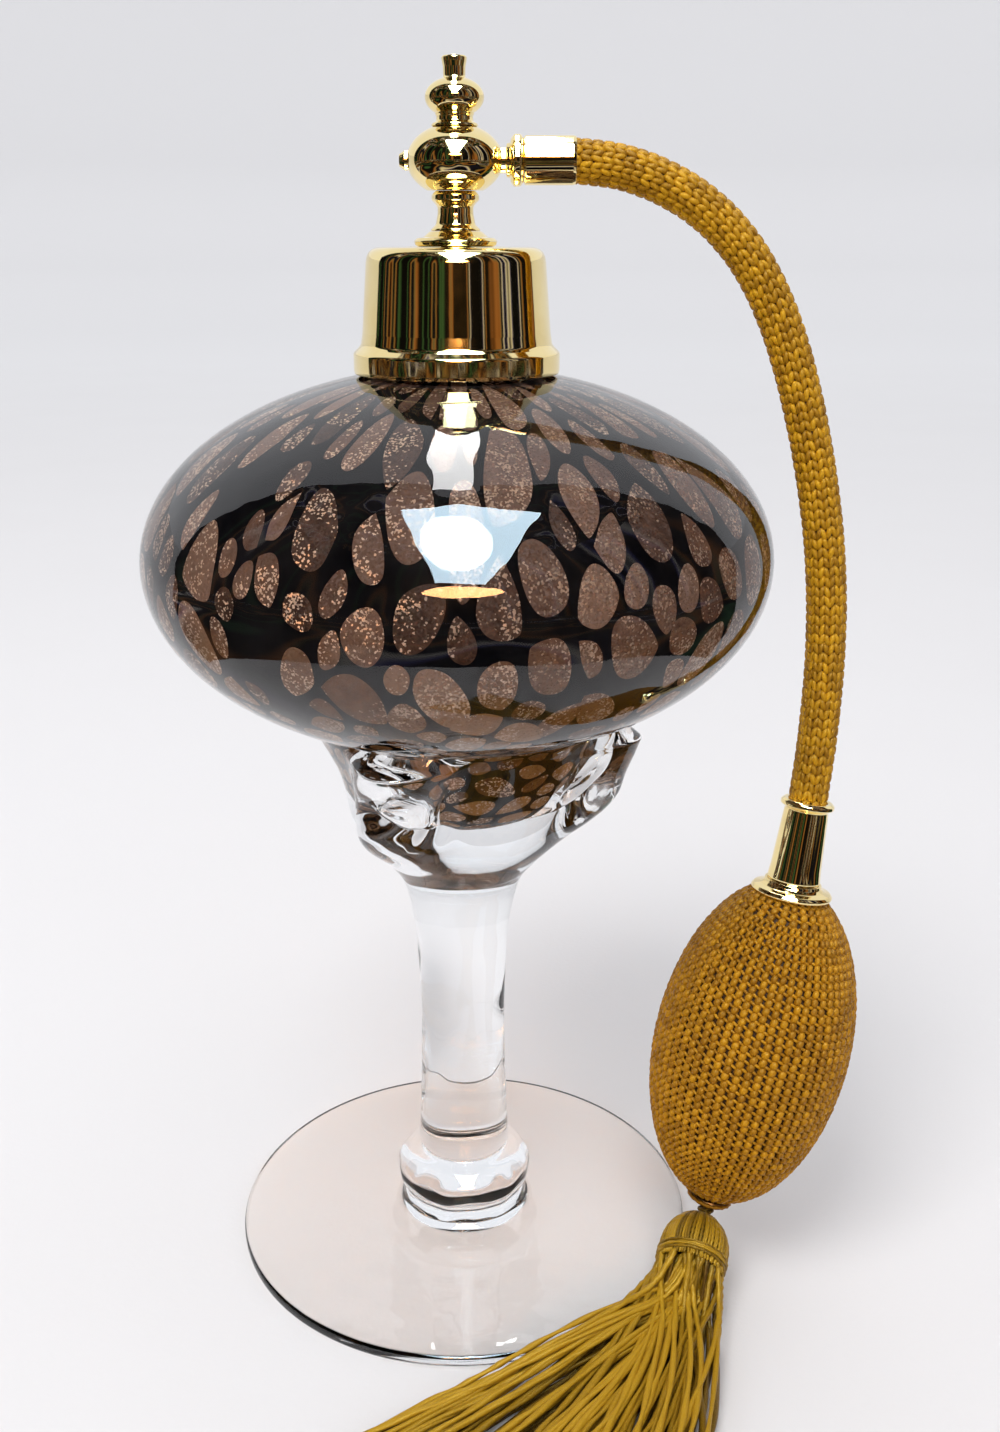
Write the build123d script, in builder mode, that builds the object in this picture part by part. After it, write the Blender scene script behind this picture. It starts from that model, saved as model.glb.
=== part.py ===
from build123d import *
from math import cos, pi, radians, sin, tan
import os

# Perfume atomiser: a blown glass bowl on a clear stem and foot, a screw cap, a
# gilt spray head, and a braided hose that carries a netted rubber bulb and a tassel.
# Millimetres. +Z is up, the origin is the centre of the foot's underside,
# +X runs towards the hose and -Y towards the front.

os.makedirs("parts", exist_ok=True)

# ---- driving dimensions -----------------------------------------------------
glass_gap = 0.02        # joint line left between glass pieces that are fused
running_gap = 0.05      # radial clearance of a shaft in its bore

# foot, knop and stem
foot_r = 45.0
foot_edge_h = 2.6
foot_crown_h = 4.6
knop_r = 13.2
knop_top_z = 17.6
stem_top_z = 76.0

# bowl
bowl_z = 138.2          # height of the widest line
bowl_r = 55.1
bowl_up = 32.5          # half-height above the widest line
bowl_down = 33.1        # half-height below it
casing_t = 1.3          # clear glass over the coloured glass
wall_t = 3.9            # casing and coloured glass together
bulge_r = 21.0          # coloured glass drawn down into the cradle
bulge_h = 18.5
neck_r = 10.4
neck_bore_r = 8.0
neck_top_z = 185.0

# cradle
lobe_angles = (-120.0, -9.0, 120.0)
lobe_t = 11.0

# neck ring, gasket, cap
ring_r = 12.9
ring_bottom_z = 172.8
ring_top_z = 185.6
gasket_top_z = 187.1
liner_bore_r = ring_r + 0.1
band_r = 17.5
band_bottom_z = 169.6
cap_top_z = 190.0
cap_sheet_t = 0.5
cap_hole_r = 3.3

# spray head
spigot_r = 2.6
spigot_bottom_z = 183.2
washer_bottom_z = 190.05
washer_top_z = 192.45
washer_r = 6.95
pedestal_top_z = 198.7
head_z = 203.4          # axis of the spray and of the hose outlet
head_r = 7.9
head_h = 5.7
head_bottom_z = 198.75
head_top_z = 208.5
jet_bore_r = 1.6
outlet_bore_r = 2.05
outlet_bore_x = 3.4
channel_r = 0.9
dip_r = 1.75
dip_bore_r = 1.15
dip_bottom_z = 111.5
dip_top_z = 189.0
finial_z = 212.9
finial_r = 4.8
finial_h = 3.1
finial_top_z = 219.0

# hose
hose_r = 3.55
core_r = 2.95
core_bore_r = 1.6
hose_ferrule_r = 3.83
ferrule_bore_r = hose_r + 0.03
hose_ferrule_x = (11.25, 19.7)
hose_route = [
    (13.5, 0.0, head_z),
    (23.3, 0.0, head_z),
    (32.8, 0.0, 200.9),
    (41.4, 0.0, 196.2),
    (48.4, 0.0, 189.2),
    (53.5, -0.1, 180.6),
    (57.2, -0.3, 171.3),
    (60.2, -0.6, 161.2),
    (62.7, -1.0, 150.6),
    (64.6, -1.6, 139.5),
    (65.6, -2.3, 128.0),
    (65.7, -3.2, 116.5),
    (65.1, -4.4, 105.2),
    (63.9, -5.8, 94.0),
    (63.0, -6.75, 87.6),
]
arc_share = 0.45        # part of the shorter run that each tangent arc takes up

# bulb, valves
bulb_tail = Vector(48.0, -17.0, 15.8)
bulb_up = Vector(0.2145, 0.137, 0.967).normalized()
bulb_r = 18.2
bulb_half = 32.3
net_t = 1.0
rubber_t = 2.0
net_top_s = 61.2
net_tail_s = 0.6
collar_base = Vector(61.3, -8.5, 75.8)
ferrule_up = Vector(0.143, 0.143, 0.978).normalized()
valve_r = 4.05
valve_ball_r = 1.5
valve_chamber_r = 1.6
valve_port_r = 0.9
plug_r = 3.0

# tassel
tassel_top = Vector(46.5, -18.2, 12.6)
tassel_down = Vector(-0.31, -0.85, -0.43).normalized()
tassel_r = 7.1
tassel_head_l = 8.5
binding_l = 2.6


def section(origin, up):
    """Plane through an axis: its x runs outwards and its y runs along up."""
    side = Vector(0, 1, 0).cross(up).normalized()
    return Plane(origin=origin, x_dir=side, z_dir=side.cross(up))


def ellipse_z(r, radius, half):
    """Height over the middle of an ellipse at the distance r from its axis."""
    return half * (1 - (r / radius) ** 2) ** 0.5


upright = Plane.XZ
bulb_section = section(bulb_tail, bulb_up)
bulb_axis = Axis(bulb_tail, bulb_up)
ferrule_section = section(collar_base, ferrule_up)
ferrule_axis = Axis(collar_base, ferrule_up)
tassel_section = section(tassel_top, tassel_down)
tassel_axis = Axis(tassel_top, tassel_down)
hose_section = Plane(origin=(0, 0, head_z), x_dir=(1, 0, 0), z_dir=(0, -1, 0))
hose_axis = Axis((0, 0, head_z), (1, 0, 0))

# ---- foot, knop, stem -------------------------------------------------------
with BuildPart() as glass_foot:
    with BuildSketch(upright):
        with BuildLine():
            Polyline((0, 0), (foot_r - 1.0, 0))
            Line((foot_r - 1.0, 0), (foot_r, 1.0))
            Line((foot_r, 1.0), (foot_r, foot_edge_h - 0.9))
            Line((foot_r, foot_edge_h - 0.9), (foot_r - 0.9, foot_edge_h))
            Line((foot_r - 0.9, foot_edge_h), (knop_r, foot_crown_h))
            Polyline((knop_r, foot_crown_h), (0, foot_crown_h), (0, 0))
        make_face()
    revolve(axis=Axis.Z)
glass_foot.part.label = "glass_foot"
export_step(glass_foot.part, "parts/glass_foot.step")

knop_bottom_z = foot_crown_h + glass_gap
with BuildPart() as glass_knop:
    with BuildSketch(upright):
        with BuildLine():
            Line((0, knop_bottom_z), (10.8, knop_bottom_z))
            ThreePointArc((10.8, knop_bottom_z), (knop_r, 10.4), (9.2, knop_top_z))
            Polyline((9.2, knop_top_z), (0, knop_top_z), (0, knop_bottom_z))
        make_face()
    revolve(axis=Axis.Z)
glass_knop.part.label = "glass_knop"
export_step(glass_knop.part, "parts/glass_knop.step")

stem_bottom_z = knop_top_z + glass_gap
with BuildPart() as glass_stem:
    with BuildSketch(upright):
        with BuildLine():
            Line((0, stem_bottom_z), (8.8, stem_bottom_z))
            Spline((8.8, stem_bottom_z), (8.2, 46.0), (9.0, 65.0), (11.2, stem_top_z))
            Polyline((11.2, stem_top_z), (0, stem_top_z), (0, stem_bottom_z))
        make_face()
    revolve(axis=Axis.Z)
glass_stem.part.label = "glass_stem"
export_step(glass_stem.part, "parts/glass_stem.step")

# ---- bowl: coloured glass inside, clear glass over it -----------------------
colour_r = bowl_r - casing_t
colour_up = bowl_up - casing_t
colour_down = bowl_down - casing_t
inner_r = bowl_r - wall_t
inner_up = bowl_up - wall_t
inner_down = bowl_down - wall_t
bulge_z = bowl_z - ellipse_z(bulge_r, colour_r, colour_down)

with BuildPart() as bowl:
    with BuildSketch(upright):
        with BuildLine():
            EllipticalCenterArc((0, bowl_z), colour_r, colour_up, 0, arc_size=90)
            EllipticalCenterArc((0, bowl_z), colour_r, colour_down, 270, arc_size=90)
            Line((0, bowl_z + colour_up), (0, bowl_z - colour_down))
        make_face()
        with BuildLine():
            EllipticalCenterArc((0, bulge_z), bulge_r, bulge_h, 270, arc_size=90)
            Polyline((bulge_r, bulge_z), (0, bulge_z), (0, bulge_z - bulge_h))
        make_face()
        with BuildLine():
            Polyline((0, bowl_z), (neck_r, bowl_z), (neck_r, neck_top_z), (0, neck_top_z), close=True)
        make_face()
    revolve(axis=Axis.Z)
    with BuildSketch(upright):
        with BuildLine():
            EllipticalCenterArc((0, bowl_z), inner_r, inner_up, 0, arc_size=90)
            EllipticalCenterArc((0, bowl_z), inner_r, inner_down, 270, arc_size=90)
            Line((0, bowl_z + inner_up), (0, bowl_z - inner_down))
        make_face()
        with BuildLine():
            Polyline((0, bowl_z), (neck_bore_r, bowl_z), (neck_bore_r, neck_top_z), (0, neck_top_z), close=True)
        make_face()
    revolve(axis=Axis.Z, mode=Mode.SUBTRACT)
bowl.part.label = "bowl"
export_step(bowl.part, "parts/bowl.step")

casing_neck_r = neck_r + glass_gap
casing_foot_r = bulge_r + glass_gap
with BuildPart() as bowl_casing:
    with BuildSketch(upright):
        with BuildLine():
            EllipticalCenterArc((0, bowl_z), bowl_r, bowl_up, 0, arc_size=90)
            EllipticalCenterArc((0, bowl_z), bowl_r, bowl_down, 270, arc_size=90)
            Line((0, bowl_z + bowl_up), (0, bowl_z - bowl_down))
        make_face()
    revolve(axis=Axis.Z)
    with BuildSketch(upright):
        with BuildLine():
            EllipticalCenterArc((0, bowl_z), colour_r + glass_gap, colour_up + glass_gap, 0, arc_size=90)
            EllipticalCenterArc((0, bowl_z), colour_r + glass_gap, colour_down + glass_gap, 270, arc_size=90)
            Line((0, bowl_z + colour_up + glass_gap), (0, bowl_z - colour_down - glass_gap))
        make_face()
    revolve(axis=Axis.Z, mode=Mode.SUBTRACT)
    with BuildSketch(Plane.XY.offset(bowl_z)):
        Circle(casing_neck_r)
    extrude(amount=bowl_up + 1, mode=Mode.SUBTRACT)
    with BuildSketch(Plane.XY.offset(bowl_z)):
        Circle(casing_foot_r)
    extrude(amount=-bowl_down - 1, mode=Mode.SUBTRACT)
bowl_casing.part.label = "bowl_casing"
export_step(bowl_casing.part, "parts/bowl_casing.step")

# ---- cradle: a thick cup of clear glass, with three pulled lobes ------------
cup_rim_r = 27.4
cup_outline = [(11.2, stem_top_z + glass_gap), (15.2, 81.2), (20.6, 88.0), (23.2, 95.0), (cup_rim_r, 106.0)]
with BuildPart() as cradle_cup:
    with BuildSketch(upright):
        with BuildLine():
            Line((0, stem_top_z + glass_gap), (11.2, stem_top_z + glass_gap))
            Spline(*cup_outline)
            Polyline((cup_rim_r, 106.0), (cup_rim_r, bowl_z), (0, bowl_z), (0, stem_top_z + glass_gap))
        make_face()
    revolve(axis=Axis.Z)
    with BuildSketch(upright):
        with BuildLine():
            EllipticalCenterArc((0, bowl_z), bowl_r + glass_gap, bowl_down + glass_gap, 270, arc_size=90)
            Polyline((bowl_r + glass_gap, bowl_z), (0, bowl_z), (0, bowl_z - bowl_down - glass_gap))
        make_face()
        with BuildLine():
            EllipticalCenterArc((0, bulge_z), bulge_r + glass_gap, bulge_h + glass_gap, 270, arc_size=90)
            Polyline((bulge_r + glass_gap, bulge_z), (0, bulge_z), (0, bulge_z - bulge_h - glass_gap))
        make_face()
    revolve(axis=Axis.Z, mode=Mode.SUBTRACT)
cradle_cup.part.label = "cradle_cup"
export_step(cradle_cup.part, "parts/cradle_cup.step")

lobe_seat = [(r + 2 * glass_gap, z) for r, z in cup_outline]
for number, angle in enumerate(lobe_angles, start=1):
    with BuildPart() as lobe:
        with BuildSketch(Plane.XZ.rotated((0, 0, angle))):
            with BuildLine():
                Polyline((14.0, 82.0), (21.0, 86.5), (27.0, 91.0), (31.6, 97.5), (32.4, 103.5))
                Polyline((32.4, 103.5), (31.6, 108.0), (30.6, 116.0), (14.0, 116.0), (14.0, 82.0))
            make_face()
        extrude(amount=lobe_t / 2, both=True)
        with BuildSketch(upright):
            with BuildLine():
                EllipticalCenterArc((0, bowl_z), bowl_r + glass_gap, bowl_down + glass_gap, 270, arc_size=90)
                Polyline((bowl_r + glass_gap, bowl_z), (0, bowl_z), (0, bowl_z - bowl_down - glass_gap))
            make_face()
            with BuildLine():
                Line((0, 70.0), lobe_seat[0])
                Spline(*lobe_seat)
                Polyline(lobe_seat[-1], (lobe_seat[-1][0], bowl_z), (0, bowl_z), (0, 70.0))
            make_face()
        revolve(axis=Axis.Z, mode=Mode.SUBTRACT)
    lobe.part.label = f"cradle_lobe_{number}"
    export_step(lobe.part, f"parts/cradle_lobe_{number}.step")

# ---- neck ring and gasket ---------------------------------------------------
with BuildPart() as neck_ring:
    with BuildSketch(upright):
        with BuildLine():
            Polyline(
                (neck_r + glass_gap, ring_bottom_z), (ring_r, ring_bottom_z), (ring_r, ring_top_z),
                (neck_bore_r, ring_top_z), (neck_bore_r, neck_top_z + glass_gap),
                (neck_r + glass_gap, neck_top_z + glass_gap), close=True)
        make_face()
    revolve(axis=Axis.Z)
neck_ring.part.label = "neck_ring"
export_step(neck_ring.part, "parts/neck_ring.step")

gasket_bottom_z = ring_top_z + 0.1
with BuildPart() as neck_gasket:
    with BuildSketch(Plane.XY.offset(gasket_bottom_z)):
        Circle(ring_r - 0.2)
        Circle(neck_bore_r - 1.6, mode=Mode.SUBTRACT)
    extrude(amount=gasket_top_z - gasket_bottom_z)
neck_gasket.part.label = "neck_gasket"
export_step(neck_gasket.part, "parts/neck_gasket.step")

# ---- screw cap: pressed sheet shell with a threaded liner -------------------
liner_bottom_z = 171.4
liner_web_z = gasket_top_z + 0.1
liner_top_z = cap_top_z - cap_sheet_t - glass_gap
liner_r = 14.15
with BuildPart() as cap_shell:
    with BuildSketch(upright):
        with BuildLine():
            Polyline((band_r - 0.4, band_bottom_z), (band_r, band_bottom_z + 0.5), (band_r, 173.2))
            Polyline((band_r, 173.2), (16.4, 174.2), (15.85, 176.0), (14.95, 188.0))
            ThreePointArc((14.95, 188.0), (14.35, 189.4), (13.0, cap_top_z))
            Polyline((13.0, cap_top_z), (cap_hole_r, cap_top_z), (cap_hole_r, cap_top_z - cap_sheet_t))
            Line((cap_hole_r, cap_top_z - cap_sheet_t), (12.9, cap_top_z - cap_sheet_t))
            ThreePointArc((12.9, cap_top_z - cap_sheet_t), (13.95, 189.05), (14.45, 187.9))
            Polyline((14.45, 187.9), (15.3, 176.2), (16.0, 173.7), (band_r - cap_sheet_t, 172.7))
            Polyline((band_r - cap_sheet_t, 172.7), (band_r - cap_sheet_t, band_bottom_z + 0.4))
            Line((band_r - cap_sheet_t, band_bottom_z + 0.4), (band_r - 0.4, band_bottom_z))
        make_face()
    revolve(axis=Axis.Z)
cap_shell.part.label = "cap_shell"
export_step(cap_shell.part, "parts/cap_shell.step")

with BuildPart() as cap_liner:
    with BuildSketch(upright):
        with BuildLine():
            Polyline(
                (liner_bore_r, liner_bottom_z), (15.2, liner_bottom_z), (15.2, 174.0), (liner_r, 187.0),
                (12.4, liner_top_z), (spigot_r + running_gap, liner_top_z),
                (spigot_r + running_gap, liner_web_z), (liner_bore_r, liner_web_z), close=True)
        make_face()
    revolve(axis=Axis.Z)
cap_liner.part.label = "cap_liner"
export_step(cap_liner.part, "parts/cap_liner.step")

with BuildPart() as cap_washer:
    with BuildSketch(upright):
        with BuildLine():
            Polyline((spigot_r + running_gap, washer_bottom_z), (6.4, washer_bottom_z))
            ThreePointArc((6.4, washer_bottom_z), (washer_r, 190.7), (6.3, 191.4))
            Polyline((6.3, 191.4), (4.9, 191.7), (4.4, washer_top_z), (spigot_r + running_gap, washer_top_z))
            Line((spigot_r + running_gap, washer_top_z), (spigot_r + running_gap, washer_bottom_z))
        make_face()
    revolve(axis=Axis.Z)
cap_washer.part.label = "cap_washer"
export_step(cap_washer.part, "parts/cap_washer.step")

# ---- spray head -------------------------------------------------------------
tube_socket_r = dip_r + 0.03
with BuildPart() as pedestal:
    with BuildSketch(upright):
        with BuildLine():
            Polyline(
                (tube_socket_r, spigot_bottom_z), (spigot_r, spigot_bottom_z), (spigot_r, washer_top_z + 0.05),
                (4.2, washer_top_z + 0.05))
            Spline((4.2, washer_top_z + 0.05), (3.2, 193.6), (2.96, 195.4), (3.15, 196.8))
            ThreePointArc((3.15, 196.8), (3.95, 197.7), (3.3, pedestal_top_z))
            Polyline(
                (3.3, pedestal_top_z), (channel_r, pedestal_top_z), (channel_r, dip_top_z + 0.1),
                (tube_socket_r, dip_top_z + 0.1), (tube_socket_r, spigot_bottom_z))
        make_face()
    revolve(axis=Axis.Z)
pedestal.part.label = "pedestal"
export_step(pedestal.part, "parts/pedestal.step")

nut_top_z = liner_web_z - 0.45
with BuildPart() as spigot_nut:
    with BuildSketch(Plane.XY.offset(spigot_bottom_z + 0.4)):
        RegularPolygon(radius=5.2, side_count=6)
        Circle(spigot_r + 0.02, mode=Mode.SUBTRACT)
    extrude(amount=nut_top_z - spigot_bottom_z - 0.4)
spigot_nut.part.label = "spigot_nut"
export_step(spigot_nut.part, "parts/spigot_nut.step")

with BuildPart() as nut_washer:
    with BuildSketch(Plane.XY.offset(nut_top_z + 0.02)):
        Circle(5.6)
        Circle(spigot_r + 0.02, mode=Mode.SUBTRACT)
    extrude(amount=0.33)
nut_washer.part.label = "nut_washer"
export_step(nut_washer.part, "parts/nut_washer.step")

with BuildPart() as head_ball:
    with BuildSketch(upright):
        with BuildLine():
            EllipticalCenterArc((0, head_z), head_r, head_h, -90, arc_size=180)
            Line((0, head_z + head_h), (0, head_z - head_h))
        make_face()
    revolve(axis=Axis.Z)
    split(bisect_by=Plane.XY.offset(head_bottom_z), keep=Keep.TOP)
    split(bisect_by=Plane.XY.offset(head_top_z), keep=Keep.BOTTOM)
    with BuildSketch(Plane.YZ):
        with Locations((0, head_z)):
            Circle(jet_bore_r)
    extrude(amount=-head_r - 1, mode=Mode.SUBTRACT)
    with BuildSketch(Plane.YZ):
        with Locations((0, head_z)):
            Circle(jet_bore_r)
    extrude(amount=outlet_bore_x, mode=Mode.SUBTRACT)
    with BuildSketch(Plane.YZ.offset(outlet_bore_x)):
        with Locations((0, head_z)):
            Circle(outlet_bore_r)
    extrude(amount=head_r, mode=Mode.SUBTRACT)
    with BuildSketch(Plane.XY.offset(head_bottom_z)):
        Circle(channel_r)
    extrude(amount=head_z - head_bottom_z, mode=Mode.SUBTRACT)
    with BuildSketch(Plane.XY.offset(head_top_z)):
        Circle(1.5)
    extrude(amount=-2.6, mode=Mode.SUBTRACT)
head_ball.part.label = "head_ball"
export_step(head_ball.part, "parts/head_ball.step")

finial_bottom_z = head_top_z + glass_gap
ball_angles = (-50.7, -25, 0, 25, 48, 67.4)   # degrees round the small ball, from its neck to its tip
ball_outline = [(finial_r * cos(radians(a)), finial_z + finial_h * sin(radians(a))) for a in ball_angles]
with BuildPart() as finial:
    with BuildSketch(upright):
        with BuildLine():
            Spline(*ball_outline)
            Polyline(
                (0, head_top_z - 2.4), (1.45, head_top_z - 2.4), (1.45, finial_bottom_z),
                (3.6, finial_bottom_z), (3.05, 209.3), ball_outline[0])
            Polyline(
                ball_outline[-1], (1.7, 216.0), (1.6, 217.2), (2.1, 218.0), (2.1, 218.7), (1.7, finial_top_z),
                (0, finial_top_z), (0, head_top_z - 2.4))
        make_face()
    revolve(axis=Axis.Z)
finial.part.label = "finial"
export_step(finial.part, "parts/finial.step")

jet_r = jet_bore_r - 0.03
with BuildPart() as nozzle_tip:
    with BuildSketch(hose_section):
        with BuildLine():
            Polyline(
                (-3.0, 0.7), (-3.0, jet_r), (-8.2, jet_r), (-9.1, 0.95), (-9.1, 0.3), (-8.4, 0.3), (-7.6, 0.7),
                close=True)
        make_face()
    revolve(axis=hose_axis)
nozzle_tip.part.label = "nozzle_tip"
export_step(nozzle_tip.part, "parts/nozzle_tip.step")

with BuildPart() as air_jet:
    with BuildSketch(hose_section):
        with BuildLine():
            Polyline((1.1, 0.3), (1.1, 0.9), (1.9, jet_r), (3.2, jet_r), (3.2, 0.8), (1.9, 0.8), close=True)
        make_face()
    revolve(axis=hose_axis)
air_jet.part.label = "air_jet"
export_step(air_jet.part, "parts/air_jet.step")

with BuildPart() as dip_tube:
    with BuildSketch(Plane.XY.offset(dip_bottom_z)):
        Circle(dip_r)
        Circle(dip_bore_r, mode=Mode.SUBTRACT)
    extrude(amount=dip_top_z - dip_bottom_z)
dip_tube.part.label = "dip_tube"
export_step(dip_tube.part, "parts/dip_tube.step")

# ---- hose and its upper fitting --------------------------------------------
nipple_bore_r = 0.8
tail_r = core_bore_r - 0.02
with BuildPart() as hose_nipple:
    with BuildSketch(hose_section):
        with BuildLine():
            Polyline(
                (outlet_bore_x + 0.1, nipple_bore_r), (outlet_bore_x + 0.1, outlet_bore_r - running_gap),
                (8.2, outlet_bore_r - running_gap), (8.2, 2.5), (9.1, 2.9))
            ThreePointArc((9.1, 2.9), (10.15, 4.07), (11.2, 2.9))
            Polyline((11.2, 2.9), (11.2, tail_r), (19.0, tail_r), (19.0, nipple_bore_r))
            Line((19.0, nipple_bore_r), (outlet_bore_x + 0.1, nipple_bore_r))
        make_face()
    revolve(axis=hose_axis)
hose_nipple.part.label = "hose_nipple"
export_step(hose_nipple.part, "parts/hose_nipple.step")

ferrule_x0, ferrule_x1 = hose_ferrule_x
with BuildPart() as hose_ferrule:
    with BuildSketch(hose_section):
        with BuildLine():
            Polyline(
                (ferrule_x0, tail_r + 0.02), (ferrule_x0, hose_ferrule_r - 0.3), (ferrule_x0 + 0.3, hose_ferrule_r),
                (ferrule_x1, hose_ferrule_r), (ferrule_x1, ferrule_bore_r), (ferrule_x0 + 0.6, ferrule_bore_r),
                (ferrule_x0 + 0.6, tail_r + 0.02), close=True)
        make_face()
    revolve(axis=hose_axis)
hose_ferrule.part.label = "hose_ferrule"
export_step(hose_ferrule.part, "parts/hose_ferrule.step")

route = [Vector(*point) for point in hose_route]
runs = [after - before for before, after in zip(route, route[1:])]
arc_radii = []
for before, after in zip(runs, runs[1:]):
    half_turn = before.get_angle(after) / 2
    shorter = min(before.length, after.length)
    arc_radii.append(arc_share * shorter / tan(radians(half_turn)))
print("hose arc radii", [round(radius, 1) for radius in arc_radii])

with BuildPart() as hose_core:
    with BuildLine():
        core_path = FilletPolyline(*hose_route, radius=arc_radii)
    with BuildSketch(Plane(origin=route[0], z_dir=runs[0])):
        Circle(core_r)
        Circle(core_bore_r, mode=Mode.SUBTRACT)
    sweep()
hose_core.part.label = "hose_core"
export_step(hose_core.part, "parts/hose_core.step")

with BuildPart() as hose_braid:
    with BuildLine():
        braid_path = FilletPolyline(*hose_route, radius=arc_radii)
    with BuildSketch(Plane(origin=route[0], z_dir=runs[0])):
        Circle(hose_r)
        Circle(core_r + glass_gap, mode=Mode.SUBTRACT)
    sweep()
hose_braid.part.label = "hose_braid"
export_step(hose_braid.part, "parts/hose_braid.step")

braid_area = pi * (hose_r**2 - (core_r + glass_gap) ** 2)
print("hose length", round(braid_path.length, 2), "from volume", round(hose_braid.part.volume / braid_area, 2))

# ---- lower ferrule and collar ----------------------------------------------
with BuildPart() as bulb_ferrule:
    with BuildSketch(ferrule_section):
        with BuildLine():
            Polyline(
                (valve_r + 0.02, 2.8), (4.8, 2.8), (4.0, 16.6), (4.5, 16.8), (4.96, 17.2), (4.96, 17.7), (4.5, 18.2),
                (ferrule_bore_r, 18.2), (ferrule_bore_r, 8.5), (valve_r + 0.02, 8.5), close=True)
        make_face()
    revolve(axis=ferrule_axis)
bulb_ferrule.part.label = "bulb_ferrule"
export_step(bulb_ferrule.part, "parts/bulb_ferrule.step")

with BuildPart() as bulb_collar:
    with BuildSketch(ferrule_section):
        with BuildLine():
            Polyline((7.0, 0.3), (7.5, 0.4), (7.4, 1.1), (5.4, 1.9), (5.2, 2.75), (valve_r + 0.02, 2.75))
            Polyline((valve_r + 0.02, 2.75), (valve_r + 0.02, 2.3), (4.8, 1.6), (7.0, 0.8), (7.0, 0.3))
        make_face()
    revolve(axis=ferrule_axis)
bulb_collar.part.label = "bulb_collar"
export_step(bulb_collar.part, "parts/bulb_collar.step")

# ---- check valves -----------------------------------------------------------
# Each is a seat with a drilled port, a loose ball and a cage that holds the ball in.
seat_z = 1.2            # height of the seat's edge over the valve's own datum
ball_rest = seat_z + (valve_ball_r**2 - valve_port_r**2) ** 0.5 + 0.02
cage_z = 4.2
ball_stop_z = ball_rest + valve_ball_r + 1.3

with BuildPart() as outlet_valve_seat:
    with BuildSketch(ferrule_section):
        with BuildLine():
            Polyline(
                (valve_port_r, -1.2), (3.8, -1.2), (3.8, 0.9), (valve_r, 1.2), (valve_r, cage_z),
                (valve_chamber_r, cage_z), (valve_chamber_r, seat_z), (valve_port_r, seat_z), close=True)
        make_face()
    revolve(axis=ferrule_axis)
outlet_valve_seat.part.label = "outlet_valve_seat"
export_step(outlet_valve_seat.part, "parts/outlet_valve_seat.step")

with BuildPart() as outlet_valve_cage:
    with BuildSketch(ferrule_section):
        with BuildLine():
            Polyline(
                (valve_chamber_r, cage_z + 0.05), (valve_r, cage_z + 0.05), (valve_r, 8.3),
                (valve_port_r, 8.3), (valve_port_r, ball_stop_z), (valve_chamber_r, ball_stop_z), close=True)
        make_face()
    revolve(axis=ferrule_axis)
outlet_valve_cage.part.label = "outlet_valve_cage"
export_step(outlet_valve_cage.part, "parts/outlet_valve_cage.step")

with BuildPart() as outlet_valve_ball:
    with BuildSketch(ferrule_section):
        with BuildLine():
            CenterArc((0, ball_rest), valve_ball_r, -90, 180)
            Line((0, ball_rest + valve_ball_r), (0, ball_rest - valve_ball_r))
        make_face()
    revolve(axis=ferrule_axis)
outlet_valve_ball.part.label = "outlet_valve_ball"
export_step(outlet_valve_ball.part, "parts/outlet_valve_ball.step")

with BuildPart() as inlet_valve_body:
    with BuildSketch(bulb_section):
        with BuildLine():
            Polyline(
                (valve_port_r, -0.9), (3.6, -0.9), (3.9, -0.5), (3.6, 0.2), (plug_r, 0.4), (plug_r, cage_z),
                (valve_chamber_r, cage_z), (valve_chamber_r, seat_z), (valve_port_r, seat_z), close=True)
        make_face()
    revolve(axis=bulb_axis)
inlet_valve_body.part.label = "inlet_valve_body"
export_step(inlet_valve_body.part, "parts/inlet_valve_body.step")

with BuildPart() as inlet_valve_cage:
    with BuildSketch(bulb_section):
        with BuildLine():
            Polyline(
                (valve_chamber_r, cage_z + 0.05), (plug_r, cage_z + 0.05), (plug_r, 7.0),
                (valve_port_r, 7.0), (valve_port_r, ball_stop_z), (valve_chamber_r, ball_stop_z), close=True)
        make_face()
    revolve(axis=bulb_axis)
inlet_valve_cage.part.label = "inlet_valve_cage"
export_step(inlet_valve_cage.part, "parts/inlet_valve_cage.step")

with BuildPart() as inlet_valve_ball:
    with BuildSketch(bulb_section):
        with BuildLine():
            CenterArc((0, ball_rest), valve_ball_r, -90, 180)
            Line((0, ball_rest + valve_ball_r), (0, ball_rest - valve_ball_r))
        make_face()
    revolve(axis=bulb_axis)
inlet_valve_ball.part.label = "inlet_valve_ball"
export_step(inlet_valve_ball.part, "parts/inlet_valve_ball.step")

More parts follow.
